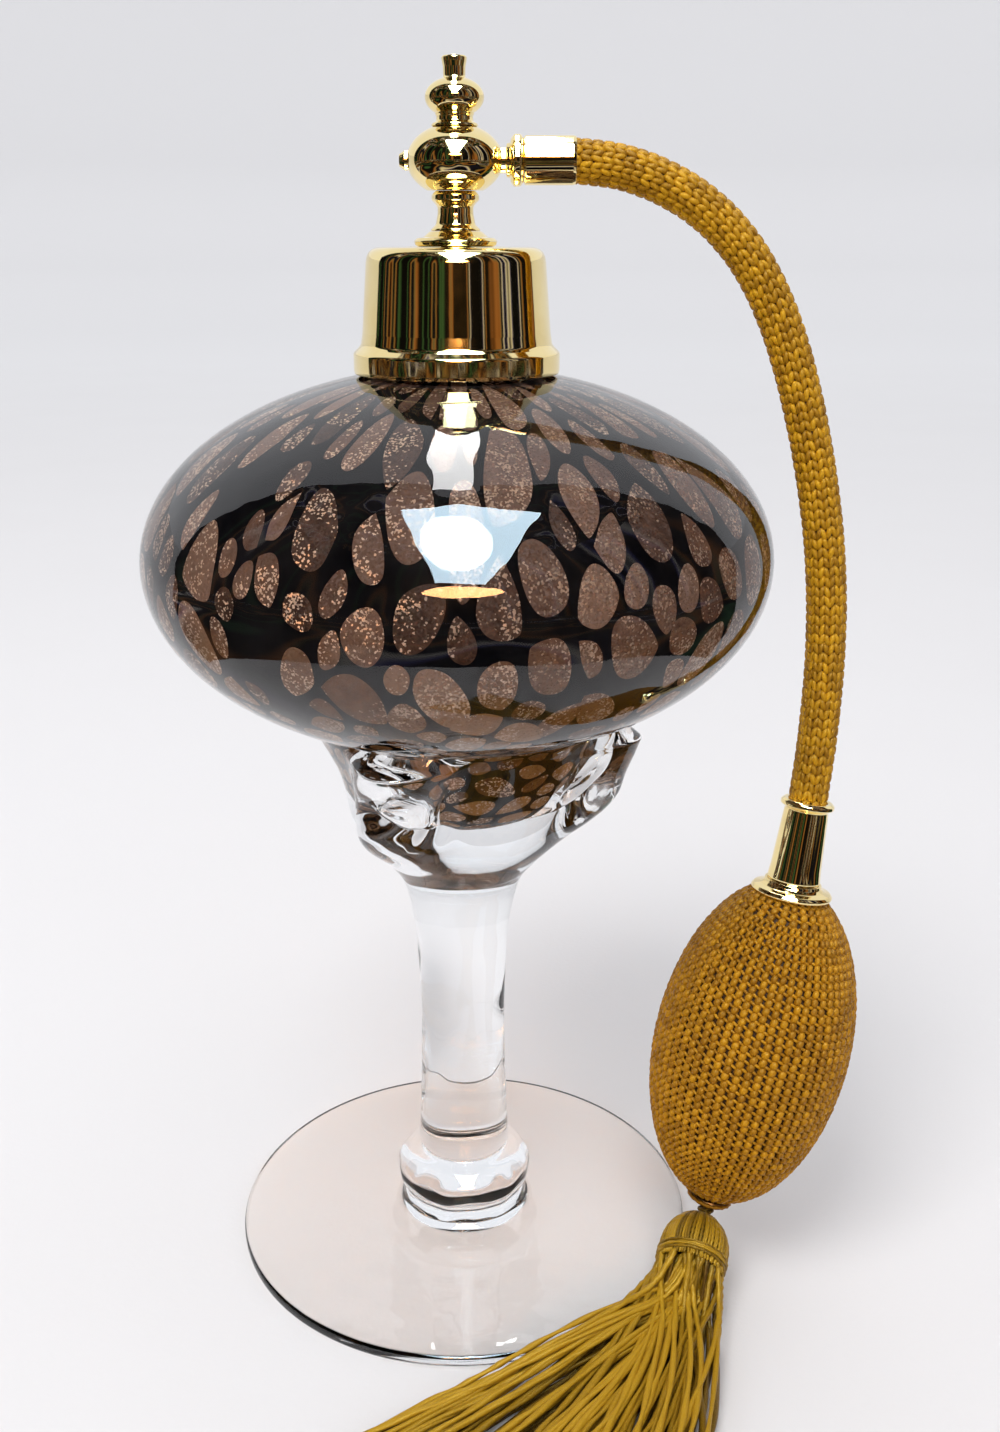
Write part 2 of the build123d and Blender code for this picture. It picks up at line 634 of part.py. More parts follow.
# ---- rubber bulb and its knitted net ---------------------------------------
rubber_r = bulb_r - net_t
rubber_half = bulb_half - net_t
with BuildPart() as rubber_bulb:
    with BuildSketch(bulb_section):
        with BuildLine():
            EllipticalCenterArc((0, bulb_half), rubber_r, rubber_half, -90, arc_size=180)
            Line((0, bulb_half + rubber_half), (0, bulb_half - rubber_half))
        make_face()
    revolve(axis=bulb_axis)
    with BuildSketch(bulb_section):
        with BuildLine():
            EllipticalCenterArc((0, bulb_half), rubber_r - rubber_t, rubber_half - rubber_t, -90, arc_size=180)
            Line((0, bulb_half + rubber_half - rubber_t), (0, bulb_half - rubber_half + rubber_t))
        make_face()
    revolve(axis=bulb_axis, mode=Mode.SUBTRACT)
    with BuildSketch(Plane(origin=bulb_tail, z_dir=bulb_up)):
        Circle(plug_r + 0.05)
    extrude(amount=bulb_half, mode=Mode.SUBTRACT)
    with BuildSketch(Plane(origin=collar_base, z_dir=ferrule_up)):
        Circle(valve_r + 0.1)
    extrude(amount=bulb_half / 4, both=True, mode=Mode.SUBTRACT)
rubber_bulb.part.label = "rubber_bulb"
export_step(rubber_bulb.part, "parts/rubber_bulb.step")

with BuildPart() as bulb_net:
    with BuildSketch(bulb_section):
        with BuildLine():
            EllipticalCenterArc((0, bulb_half), bulb_r, bulb_half, -90, arc_size=180)
            Line((0, bulb_half * 2), (0, 0))
        make_face()
    revolve(axis=bulb_axis)
    with BuildSketch(bulb_section):
        with BuildLine():
            EllipticalCenterArc((0, bulb_half), rubber_r + glass_gap, rubber_half + glass_gap, -90, arc_size=180)
            Line((0, bulb_half + rubber_half + glass_gap), (0, bulb_half - rubber_half - glass_gap))
        make_face()
    revolve(axis=bulb_axis, mode=Mode.SUBTRACT)
    split(bisect_by=Plane(origin=bulb_tail + bulb_up * net_top_s, z_dir=bulb_up), keep=Keep.BOTTOM)
    split(bisect_by=Plane(origin=bulb_tail + bulb_up * net_tail_s, z_dir=bulb_up), keep=Keep.TOP)
    with BuildSketch(Plane(origin=bulb_tail, z_dir=bulb_up)):
        Circle(plug_r + 0.05)
    extrude(amount=bulb_half / 4, mode=Mode.SUBTRACT)
bulb_net.part.label = "bulb_net"
export_step(bulb_net.part, "parts/bulb_net.step")

# ---- tassel -----------------------------------------------------------------
cord_top = bulb_tail - bulb_up * 1.2
cord_run = tassel_top + tassel_down * 0.1 - cord_top
with BuildPart() as tassel_cord:
    with BuildSketch(Plane(origin=cord_top, z_dir=cord_run)):
        Circle(0.8)
    extrude(amount=cord_run.length)
tassel_cord.part.label = "tassel_cord"
export_step(tassel_cord.part, "parts/tassel_cord.step")

dome_l = 6.0
with BuildPart() as tassel_head:
    with BuildSketch(tassel_section):
        with BuildLine():
            EllipticalCenterArc((0, dome_l + 0.5), tassel_r, dome_l, 270, arc_size=90)
            Polyline(
                (tassel_r, dome_l + 0.5), (6.6, tassel_head_l), (0, tassel_head_l), (0, 0.5))
        make_face()
    revolve(axis=tassel_axis)
tassel_head.part.label = "tassel_head"
export_step(tassel_head.part, "parts/tassel_head.step")

binding_s = tassel_head_l + glass_gap
with BuildPart() as tassel_binding:
    with BuildSketch(Plane(origin=tassel_top + tassel_down * binding_s, z_dir=tassel_down)):
        Circle(6.8)
    extrude(amount=binding_l)
tassel_binding.part.label = "tassel_binding"
export_step(tassel_binding.part, "parts/tassel_binding.step")

skirt_start = tassel_top + tassel_down * (binding_s + binding_l + glass_gap)
fan = Vector(-0.66, -0.75, 0).normalized()
with BuildPart() as tassel_skirt:
    with BuildSketch(Plane(origin=skirt_start, x_dir=Vector(0, 0, 1).cross(tassel_down), z_dir=tassel_down)):
        Ellipse(6.4, 6.0)
    with BuildSketch(Plane(origin=(34.0, -40.5, 5.6), x_dir=Vector(0, 0, 1).cross(fan), z_dir=fan)):
        Ellipse(13.5, 2.2)
    with BuildSketch(Plane(origin=(5.0, -76.0, 2.4), x_dir=Vector(0, 0, 1).cross(fan), z_dir=fan)):
        Ellipse(29.0, 1.9)
    loft()
tassel_skirt.part.label = "tassel_skirt"
export_step(tassel_skirt.part, "parts/tassel_skirt.step")
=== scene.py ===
import bpy
import math
import random
import numpy as np
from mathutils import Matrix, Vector


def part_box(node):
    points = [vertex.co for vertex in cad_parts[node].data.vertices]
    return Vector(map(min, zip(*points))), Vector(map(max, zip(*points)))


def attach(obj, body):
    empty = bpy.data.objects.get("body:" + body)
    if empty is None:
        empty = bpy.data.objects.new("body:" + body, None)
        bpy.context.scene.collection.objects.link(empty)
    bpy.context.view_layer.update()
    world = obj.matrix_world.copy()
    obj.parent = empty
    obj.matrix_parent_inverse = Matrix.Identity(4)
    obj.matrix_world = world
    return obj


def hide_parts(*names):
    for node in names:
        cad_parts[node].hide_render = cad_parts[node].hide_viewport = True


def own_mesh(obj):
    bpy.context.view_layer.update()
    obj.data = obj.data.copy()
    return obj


# Looks for a perfume atomiser: fused clear glass, a spotted bowl, gilt fittings,
# a braided hose, a netted bulb and a tassel. Lengths of the object are millimetres, scaled
# by MM where they become Blender objects. The studio round it is written in metres.

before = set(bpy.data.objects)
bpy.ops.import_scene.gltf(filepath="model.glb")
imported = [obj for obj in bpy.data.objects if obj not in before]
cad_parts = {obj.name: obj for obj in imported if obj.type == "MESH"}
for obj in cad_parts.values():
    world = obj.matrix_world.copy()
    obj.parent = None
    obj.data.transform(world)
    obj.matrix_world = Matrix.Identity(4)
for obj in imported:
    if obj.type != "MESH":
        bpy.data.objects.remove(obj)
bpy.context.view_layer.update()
MM = 0.001
scene = bpy.context.scene
rng = np.random.default_rng(7)
random.seed(7)


# ---- camera -----------------------------------------------------------------
camera_at = (0.007335, -0.249885, 0.19152)
camera_tilt = 71.493
camera_lens = 35.96

camera_data = bpy.data.cameras.new("camera")
camera_data.sensor_width = 36.0
camera_data.lens = camera_lens
camera = bpy.data.objects.new("camera", camera_data)
camera.location = camera_at
camera.rotation_euler = (math.radians(camera_tilt), 0, 0)
scene.collection.objects.link(camera)
scene.camera = camera

# ---- the hose's line: the same route as the solid's, in metres --------------
hose_route = [
    (0.0135, 0.0, 0.2034), (0.0233, 0.0, 0.2034), (0.0328, 0.0, 0.2009),
    (0.0414, 0.0, 0.1962), (0.0484, 0.0, 0.1892), (0.0535, -0.0001, 0.1806),
    (0.0572, -0.0003, 0.1713), (0.0602, -0.0006, 0.1612), (0.0627, -0.0010, 0.1506),
    (0.0646, -0.0016, 0.1395), (0.0656, -0.0023, 0.1280), (0.0657, -0.0032, 0.1165),
    (0.0651, -0.0044, 0.1052), (0.0639, -0.0058, 0.0940), (0.0630, -0.00675, 0.0876),
]
hose_exit = (0.0197, 0.0, 0.2034)


def nurbs_line(points, steps=24):
    """Points along the smooth spline that has these control points, in mm."""
    curve = bpy.data.curves.new("route", "CURVE")
    curve.dimensions = "3D"
    curve.resolution_u = steps
    spline = curve.splines.new("NURBS")
    spline.points.add(len(points) - 1)
    for slot, point in zip(spline.points, points):
        slot.co = (*point, 1.0)
    spline.order_u = 3
    spline.use_endpoint_u = True
    holder = bpy.data.objects.new("route", curve)
    mesh = bpy.data.meshes.new_from_object(holder)
    line = np.array([vertex.co[:] for vertex in mesh.vertices]) / MM
    bpy.data.objects.remove(holder)
    bpy.data.meshes.remove(mesh)
    bpy.data.curves.remove(curve)
    return line


# ---- mesh helpers -----------------------------------------------------------
def new_piece(name, verts, faces, material, body, stands_for=(), smooth=True):
    """A mesh piece from points in mm, riding on a CAD body."""
    mesh = bpy.data.meshes.new(name)
    mesh.from_pydata((np.asarray(verts) * MM).tolist(), [], faces)
    mesh.validate()
    mesh.materials.append(material)
    mesh.polygons.foreach_set("use_smooth", [smooth] * len(mesh.polygons))
    piece = bpy.data.objects.new(name, mesh)
    scene.collection.objects.link(piece)
    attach(piece, body)
    if stands_for:
        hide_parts(*stands_for)
    return piece


def paint_faces(piece, name, values):
    """One number per face, for a material to read by name."""
    layer = piece.data.attributes.new(name, "FLOAT", "FACE")
    layer.data.foreach_set("value", np.asarray(values, dtype=float).tolist())


def box_mm(node):
    """The low and high corners of a CAD node's box, in mm."""
    return [[value / MM for value in corner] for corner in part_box(node)]


def ease(t):
    """A smooth step from 0 to 1."""
    return t * t * (3 - 2 * t)


def hump(offset, width):
    """A bell curve: 1 at no offset, falling away over the width."""
    return np.exp(-((offset / width) ** 2))


def run_length(line):
    """The distance along a line of points, at each point."""
    steps = np.linalg.norm(np.diff(line, axis=0), axis=1)
    return np.concatenate([[0], np.cumsum(steps)])


def axis_frame(origin, axis):
    """Origin, two side vectors and the axis, as numpy arrays."""
    axis = np.array(axis, dtype=float)
    axis /= np.linalg.norm(axis)
    side = np.cross((0.0, 1.0, 0.0), axis)
    side /= np.linalg.norm(side)
    return np.array(origin, dtype=float), side, np.cross(axis, side), axis


UPRIGHT = axis_frame((0, 0, 0), (0, 0, 1))


def rounded(outline, closed=True, steps=5):
    """Points of a profile whose corners (r, h, fillet) are rounded by arcs."""
    count = len(outline)
    points = []
    for i, (r, h, fillet) in enumerate(outline):
        here = np.array((r, h), dtype=float)
        if fillet <= 0 or (not closed and i in (0, count - 1)):
            points.append(here)
            continue
        before = np.array(outline[i - 1][:2], dtype=float) - here
        after = np.array(outline[(i + 1) % count][:2], dtype=float) - here
        reach_a = np.linalg.norm(before)
        reach_b = np.linalg.norm(after)
        cosine = np.clip(before @ after / (reach_a * reach_b), -1, 1)
        half = math.acos(cosine) / 2
        if half > math.radians(88):
            points.append(here)
            continue
        cut = min(fillet / math.tan(half), 0.48 * reach_a, 0.48 * reach_b)
        start = here + before / reach_a * cut
        end = here + after / reach_b * cut
        for k in range(steps + 1):
            t = k / steps
            points.append((1 - t) ** 2 * start + 2 * t * (1 - t) * here + t * t * end)
    return np.array(points)


def grid_faces(rows, columns, wrap_rows, wrap_columns, start=0):
    """Quads of a grid of points, row by row."""
    faces = []
    for i in range(rows if wrap_rows else rows - 1):
        below = start + i * columns
        above = start + ((i + 1) % rows) * columns
        for j in range(columns if wrap_columns else columns - 1):
            k = (j + 1) % columns
            faces.append((below + j, below + k, above + k, above + j))
    return faces


def capped_tube_faces(rows, sides):
    """Faces of a tube of rings, closed at both ends."""
    faces = grid_faces(rows, sides, False, True)
    faces.append(tuple(reversed(range(sides))))
    faces.append(tuple(range((rows - 1) * sides, rows * sides)))
    return faces


def turned(name, outline, material, body, slot, stands_for=(), place=UPRIGHT, segments=128,
           closed=True, warp=None):
    """A lathe-turned piece. An open outline starts and ends on the axis."""
    profile = rounded(outline, closed)
    origin, side, other, axis = place
    angles = np.linspace(0, 2 * math.pi, segments, endpoint=False)
    ring = np.cos(angles)[:, None] * side + np.sin(angles)[:, None] * other
    inner = profile if closed else profile[1:-1]
    radii = np.repeat(inner[:, :1], segments, axis=1)
    heights = np.repeat(inner[:, 1:], segments, axis=1)
    if warp:
        radii, heights = warp(radii, heights, angles[None, :])
    verts = origin + radii[..., None] * ring[None] + heights[..., None] * axis
    verts = verts.reshape(-1, 3)
    rows = len(inner)
    faces = grid_faces(rows, segments, closed, True)
    if not closed:
        poles = [origin + axis * profile[0, 1], origin + axis * profile[-1, 1]]
        verts = np.vstack([verts, poles])
        first, last = len(verts) - 2, len(verts) - 1
        top = (rows - 1) * segments
        for j in range(segments):
            k = (j + 1) % segments
            faces.append((first, k, j))
            faces.append((last, top + j, top + k))
    piece = new_piece(name, verts, faces, material, body, stands_for)
    sharpen = piece.modifiers.new("normals", "WEIGHTED_NORMAL")
    sharpen.keep_sharp = True
    return piece


def leaf_field(centres, leans, sizes, place_on, sides=6, steps=4):
    """Stitches: small tapered lobes lying on a surface.

    centres is (across, along) per stitch, leans its half-run in the same two
    directions in mm, sizes its half-width and half-thickness. place_on turns
    (across, along, offsets in mm) into points. Gives points and faces."""
    t = np.linspace(-1, 1, steps + 1)
    swell = np.sqrt(np.clip(1 - 0.86 * t**4, 0.05, 1))
    turn = np.linspace(0, 2 * math.pi, sides, endpoint=False)
    leans = np.asarray(leans)
    sizes = np.asarray(sizes)
    length = np.linalg.norm(leans, axis=1)
    across_dir = np.stack([leans[:, 1], -leans[:, 0]], 1) / length[:, None]
    wide = np.cos(turn)[None, :] * swell[:, None]
    thick = np.sin(turn)[None, :] * swell[:, None]
    arch = (1 - t**2)[:, None] * 0.35

    def offset(way):
        """The stitch's run in one direction and its width across that."""
        run = leans[:, way, None, None] * t[None, :, None]
        return run + across_dir[:, way, None, None] * wide[None] * sizes[:, 0, None, None]

    dx, dy = offset(0), offset(1)
    dz = (thick[None] + arch[None] - 0.35) * sizes[:, 1, None, None]
    centres = np.asarray(centres)
    points = place_on(centres[:, 0, None, None], centres[:, 1, None, None], dx, dy, dz)
    verts = points.reshape(-1, 3)
    per = (steps + 1) * sides
    one = capped_tube_faces(steps + 1, sides)
    faces = [tuple(index + i * per for index in face) for i in range(len(centres)) for face in one]
    return verts, faces, len(one)


# ---- materials --------------------------------------------------------------
def new_material(name, values):
    """A Principled material with plain values set on its own sockets."""
    material = bpy.data.materials.new(name)
    material.use_nodes = True
    tree = material.node_tree
    shader = tree.nodes["Principled BSDF"]
    for socket, value in values.items():
        shader.inputs[socket].default_value = value
    return material, tree, shader


def add(tree, kind, inputs=None, **settings):
    """A node with its settings; inputs holds a socket to link or a plain value for each input."""
    node = tree.nodes.new("ShaderNode" + kind)
    for key, value in settings.items():
        setattr(node, key, value)
    for key, value in (inputs or {}).items():
        if isinstance(value, bpy.types.NodeSocket):
            tree.links.new(value, node.inputs[key])
        else:
            node.inputs[key].default_value = value
    return node


def plug(tree, shader, **sockets):
    """Links sockets into a shader's inputs: Base_Color stands for Base Color."""
    for name, socket in sockets.items():
        tree.links.new(socket, shader.inputs[name.replace("_", " ")])


def ramp(tree, factor, stops):
    """A colour ramp over a factor socket: stops are (position, colour)."""
    node = add(tree, "ValToRGB", {"Fac": factor})
    elements = node.color_ramp.elements
    for i, (position, colour) in enumerate(stops):
        element = elements[i] if i < 2 else elements.new(position)
        element.position = position
        element.color = (*colour, 1)
    return node.outputs["Color"]


def object_place(tree):
    """The object's own coordinates."""
    return add(tree, "TexCoord").outputs["Object"]


def object_noise(tree, scale, detail=3.0, stretch=None):
    """Noise over the object's own coordinates."""
    place = object_place(tree)
    if stretch:
        place = add(tree, "Mapping", {"Scale": stretch, "Vector": place}).outputs["Vector"]
    inputs = {"Scale": scale, "Detail": detail, "Vector": place}
    return add(tree, "TexNoise", inputs).outputs["Fac"]


def spread(tree, factor, low, high):
    """Maps a 0 to 1 factor onto low to high."""
    inputs = {"To Min": low, "To Max": high, "Value": factor}
    return add(tree, "MapRange", inputs).outputs["Result"]


def across_range(tree, value, start, end):
    """0 to 1 as a socket's value goes from start to end."""
    inputs = {"From Min": start, "From Max": end, "Value": value}
    return add(tree, "MapRange", inputs).outputs["Result"]


def scaled_sum(tree, factor, scale, base):
    """factor x scale + base."""
    inputs = {0: factor, 1: scale, 2: base}
    return add(tree, "Math", inputs, operation="MULTIPLY_ADD").outputs[0]


def bump(tree, shader, height, distance):
    """Bump from a height socket, in metres."""
    node = add(tree, "Bump", {"Distance": distance, "Height": height})
    plug(tree, shader, Normal=node.outputs["Normal"])


def metal(name, light, dark, rough=(0.03, 0.09)):
    """Polished metal: a little tarnish, smudges and a faint polishing wave."""
    material, tree, shader = new_material(name, {"Metallic": 1.0})
    plug(tree, shader, Roughness=spread(tree, object_noise(tree, 260, 6), *rough),
         Base_Color=ramp(tree, object_noise(tree, 90, 4), [(0.35, dark), (0.65, light)]))
    bump(tree, shader, object_noise(tree, 140, 2), 0.00002)
    return material


def open_to_lamps(tree, shader, tint):
    """Lets light from lamps pass, so that what stands behind the glass is lit."""
    passing = add(tree, "BsdfTransparent", {"Color": (*tint, 1)})
    shadow = add(tree, "LightPath").outputs["Is Shadow Ray"]
    mix = add(tree, "MixShader", {0: shadow, 1: shader.outputs["BSDF"], 2: passing.outputs["BSDF"]})
    plug(tree, tree.nodes["Material Output"], Surface=mix.outputs["Shader"])


def clear_glass(name):
    """Hand-worked clear glass, with slow waves over its surface."""
    values = {"Base Color": (0.985, 0.995, 1.0, 1), "Transmission Weight": 1.0, "IOR": 1.5}
    material, tree, shader = new_material(name, values)
    plug(tree, shader, Roughness=spread(tree, object_noise(tree, 300, 4), 0.0, 0.015))
    bump(tree, shader, object_noise(tree, 70, 2), 0.00025)
    # Painted shadow: the lamp light let through is tinted darker and warm, for the warm shade under
    # the foot; the glass itself stays clear.
    open_to_lamps(tree, shader, (0.82, 0.75, 0.705))
    return material


def dark_glass(name):
    """The black ground glass between the spots."""
    material, tree, shader = new_material(name, {"IOR": 1.5, "Specular IOR Level": 0.02})
    cloud = object_noise(tree, 120, 4)
    stops = [(0.3, (0.002, 0.002, 0.003)), (0.7, (0.010, 0.009, 0.010))]
    plug(tree, shader, Base_Color=ramp(tree, cloud, stops),
         Roughness=spread(tree, cloud, 0.1, 0.3))
    return material


def blended(tree, factor, low, high):
    """One colour turning into another."""
    inputs = {"Factor": factor, "A": low, "B": high}
    return add(tree, "Mix", inputs, data_type="RGBA").outputs["Result"]


def aventurine(name):
    """Copper goldstone: taupe above, painted warm light below, with bright flakes of many tilts."""
    material, tree, shader = new_material(name, {"IOR": 1.5, "Specular IOR Level": 0.1})
    tone = add(tree, "Attribute", attribute_name="tone").outputs["Fac"]
    blend = scaled_sum(tree, object_noise(tree, 420, 5), 0.6, tone)
    taupe = ramp(tree, blend, [
        (0.2, (0.034, 0.016, 0.010)), (0.6, (0.115, 0.060, 0.040)), (1.0, (0.21, 0.125, 0.088))])
    # Painted warm light: this amber ramp stands for the warmer light that falls on the spots under
    # the bowl.
    painted_warm_light = ramp(tree, blend, [
        (0.2, (0.065, 0.024, 0.006)), (0.6, (0.19, 0.085, 0.027)), (1.0, (0.30, 0.155, 0.062))])
    place = object_place(tree)
    height = add(tree, "SeparateXYZ", {0: place}).outputs["Z"]
    # Painted warm light: the amber is mixed in by height, from the equator downwards.
    painted_warm_light_from, painted_warm_light_by = 0.138, 0.116
    ground = blended(tree, across_range(tree, height, painted_warm_light_from, painted_warm_light_by), taupe, painted_warm_light)
    flake = add(tree, "TexVoronoi", {"Scale": 3300, "Vector": place}).outputs["Color"]
    picked = add(tree, "SeparateColor", {"Color": flake}).outputs["Red"]
    patches = scaled_sum(tree, object_noise(tree, 150, 2), -1.5, 1.60)
    bright = add(tree, "Math", {0: picked, 1: patches}, operation="GREATER_THAN").outputs[0]
    tilt = add(tree, "VectorMath", {0: flake, 1: (0.8, 0.8, 0.8), 2: (-0.4, -0.4, -0.4)},
               operation="MULTIPLY_ADD").outputs[0]
    normal = add(tree, "NewGeometry").outputs["Normal"]
    tilted = add(tree, "VectorMath", {0: normal, 1: tilt}, operation="ADD").outputs[0]
    unit = add(tree, "VectorMath", {0: tilted}, operation="NORMALIZE").outputs[0]
    plug(tree, shader, Base_Color=blended(tree, bright, ground, (0.58, 0.42, 0.31, 1)),
         Metallic=spread(tree, bright, 0.0, 0.7), Roughness=spread(tree, bright, 0.55, 0.3),
         Normal=unit)
    return material


def thread(name, dark, light, filament=5200, rough=(0.38, 0.6)):
    """Rayon thread: each strand its own tone (in the tassel's strands partly painted shade), fine
    filaments, a silky sheen.
    """
    material, tree, shader = new_material(name, {
        "Sheen Weight": 0.03, "Sheen Roughness": 0.4, "Sheen Tint": (1.0, 0.78, 0.35, 1),
        "Specular IOR Level": 0.3, "Specular Tint": (1.0, 0.78, 0.30, 1)})
    tone = add(tree, "Attribute", attribute_name="tone").outputs["Fac"]
    fuzz = object_noise(tree, filament, 2, (1, 1, 0.25))
    blend = scaled_sum(tree, fuzz, 0.55, tone)
    plug(tree, shader, Base_Color=ramp(tree, blend, [(0.2, dark), (1.1, light)]),
         Roughness=spread(tree, fuzz, *rough))
    bump(tree, shader, fuzz, 0.00012)
    return material


def plain(name, dark, light, scale, rough, grain=0.00005, extra=None):
    """Rubber or moulded plastic: a mottled tone and a fine grain."""
    material, tree, shader = new_material(name, extra or {})
    mottle = object_noise(tree, scale, 5)
    plug(tree, shader, Base_Color=ramp(tree, mottle, [(0.3, dark), (0.7, light)]),
         Roughness=spread(tree, mottle, *rough))
    bump(tree, shader, object_noise(tree, scale * 6, 3), grain)
    return material


gilt = metal("gilt", (0.95, 0.79, 0.40), (0.89, 0.70, 0.31))
turned_brass = metal("turned_brass", (0.80, 0.62, 0.31), (0.66, 0.47, 0.2), (0.12, 0.3))
aged_brass = metal("aged_brass", (0.20, 0.11, 0.04), (0.10, 0.055, 0.02), (0.35, 0.55))
steel = metal("steel", (0.78, 0.78, 0.8), (0.66, 0.66, 0.7), (0.05, 0.15))
glass = clear_glass("clear_glass")
ground_glass = dark_glass("black_glass")
goldstone = aventurine("goldstone")
braid_thread = thread("braid_thread", (0.12, 0.034, 0.0005), (0.66, 0.33, 0.008))
net_thread = thread("net_thread", (0.13, 0.036, 0.0005), (0.60, 0.27, 0.005))
tassel_thread = thread("tassel_thread", (0.04, 0.014, 0.0005), (0.42, 0.230, 0.010), 4200,
                       (0.3, 0.5))
black_rubber = plain("black_rubber", (0.012, 0.010, 0.009), (0.03, 0.025, 0.022), 300, (0.5, 0.75))
dyed_rubber = plain("dyed_rubber", (0.030, 0.011, 0.001), (0.075, 0.028, 0.003), 300, (0.6, 0.8),
                    extra={"Specular IOR Level": 0.15})
ivory_plastic = plain("ivory_plastic", (0.68, 0.66, 0.6), (0.76, 0.74, 0.69), 200, (0.35, 0.5))
tube_plastic = plain("tube_plastic", (0.8, 0.82, 0.82), (0.86, 0.88, 0.88), 260, (0.15, 0.25),
                     0.00001, {"Transmission Weight": 0.6, "IOR": 1.45})

# ---- the stage: pale floor, soft light --------------------------------------
scene.view_settings.view_transform = "Standard"
world = bpy.data.worlds.new("studio")
scene.world = world
world.use_nodes = True
sky_light = world.node_tree.nodes["Background"]
sky_light.inputs["Color"].default_value = (0.94, 0.955, 1.0, 1)
sky_light.inputs["Strength"].default_value = 0.96


def stage_mesh(name, verts, faces, material):
    """A mesh of the studio, in metres: no part of the object."""
    mesh = bpy.data.meshes.new(name)
    mesh.from_pydata(verts, [], faces)
    mesh.materials.append(material)
    mesh.polygons.foreach_set("use_smooth", [True] * len(mesh.polygons))
    thing = bpy.data.objects.new(name, mesh)
    scene.collection.objects.link(thing)
    return thing


def make_floor():
    """A round pale floor that curves up all round, far off, and is painted paler towards the back:
    painted light where the lamps reach less.
    """
    material, tree, shader = new_material("floor_paper",
                                          {"Roughness": 0.6, "Specular IOR Level": 0.2})
    place = add(tree, "SeparateXYZ", {0: object_place(tree)})
    # Painted light: darker near the object and paler further back, evening out the lamps' light.
    away = across_range(tree, place.outputs["Y"], -0.2, 2.2)
    blend = scaled_sum(tree, object_noise(tree, 9, 3), 0.15, away)
    stops = [(0.0, (0.715, 0.69, 0.68)), (1.1, (0.84, 0.83, 0.825))]
    plug(tree, shader, Base_Color=ramp(tree, blend, stops))
    bump(tree, shader, object_noise(tree, 900, 3), 0.00004)
    rings = [(0.3, 0.0), (0.8, 0.0), (1.6, 0.0), (2.6, 0.02), (3.2, 0.12), (3.6, 0.36),
             (3.8, 0.8)]
    segments = 96
    verts = [(radius * math.cos(a), radius * math.sin(a), height) for radius, height in rings
             for a in np.linspace(0, 2 * math.pi, segments, endpoint=False)]
    faces = [tuple(reversed(face)) for face in grid_faces(len(rings), segments, False, True)]
    faces.append(tuple(range(segments)))
    stage_mesh("floor", verts, faces, material)


def area_light(name, at, aim, size, power, colour=(1, 1, 1), glossy=True, diffuse=True,
               shape="RECTANGLE"):
    """A soft panel of light, of (width, depth), that only surfaces and reflections see."""
    data = bpy.data.lights.new(name, "AREA")
    data.shape = shape
    data.size, data.size_y = size
    data.energy = power
    data.color = colour
    lamp = bpy.data.objects.new(name, data)
    lamp.location = at
    lamp.rotation_euler = (Vector(aim) - Vector(at)).to_track_quat("-Z", "Y").to_euler()
    lamp.visible_camera = False
    lamp.visible_glossy = glossy
    lamp.visible_diffuse = diffuse
    lamp.visible_transmission = False
    scene.collection.objects.link(lamp)


def room_material(name, streaks):
    """An unlit room: black, with a few thin green, brown and pale bands."""
    material = bpy.data.materials.new(name)
    material.use_nodes = True
    tree = material.node_tree
    tree.nodes.remove(tree.nodes["Principled BSDF"])
    bands = object_noise(tree, 1.0, 1, streaks)
    black = (0.004, 0.004, 0.005)
    stops = [
        (0.0, black), (0.36, black), (0.39, (0.04, 0.10, 0.05)), (0.42, black),
        (0.485, (0.01, 0.008, 0.005)), (0.51, (0.30, 0.12, 0.04)), (0.53, (0.16, 0.13, 0.07)),
        (0.55, black), (0.595, (0.012, 0.012, 0.03)), (0.62, (0.70, 0.66, 0.60)),
        (0.645, (0.10, 0.10, 0.30)), (0.66, black),
    ]
    glow = add(tree, "Emission", {"Color": ramp(tree, bands, stops)})
    plug(tree, tree.nodes["Material Output"], Surface=glow.outputs[0])
    return material


def make_room():
    """The dark side of the room: a curved wall and ceiling in front, and the unlit table."""
    wall_r, wall_top, half_turn = 2.6, 2.9, 112
    angles = np.radians(np.linspace(-90 - half_turn, -90 + half_turn, 65))
    across = np.stack([np.cos(angles), np.sin(angles)], 1)

    def band(name, rings, material):
        """A backdrop that neither the camera nor the light on the table sees."""
        verts = [(*(radius * direction), z) for radius, z in rings for direction in across]
        faces = grid_faces(len(rings), len(angles), False, False)
        backdrop = stage_mesh(name, verts, faces, material)
        backdrop.visible_camera = False
        backdrop.visible_diffuse = False
        backdrop.visible_shadow = False
        return backdrop

    band("room_wall", [(wall_r, 0.0), (wall_r, wall_top)], room_material("room", (1.1, 1.1, 0.12)))
    band("room_ceiling", [(wall_r, wall_top), (0.25, wall_top)],
         room_material("room_above", (2, 2, 1)))
    table = band("room_table", [(0.19, 0.004), (1.5, 0.006), (wall_r, 0.04)],
                 room_material("room_table", (2, 2, 1)))
    table.visible_transmission = False


make_floor()
make_room()
middle = (0, 0, 0.12)
window_z = 1.14
sky = (0.66, 0.86, 1.0)
area_light("window_shine", (0.06, -1.05, window_z), (0.06, -1.05, 0), (0.62, 1.70), 66, sky,
           diffuse=False)
area_light("window_cloud", (0.0, -0.80, 1.12), (0.0, -0.80, 0), (0.44, 1.0), 14, diffuse=False,
           shape="ELLIPSE")
area_light("window_strip", (-0.02, 0.42, window_z), (-0.02, 0.42, 0), (0.16, 0.9), 6,
           diffuse=False)
area_light("lamp_glint", (0.06, -1.25, 0.62), middle, (0.62, 0.20), 12, (1.0, 0.50, 0.20),
           diffuse=False, shape="ELLIPSE")
area_light("window_soft", (-0.40, -0.65, 1.2), middle, (0.6, 0.6), 10, (0.98, 0.99, 1.0),
           glossy=False)

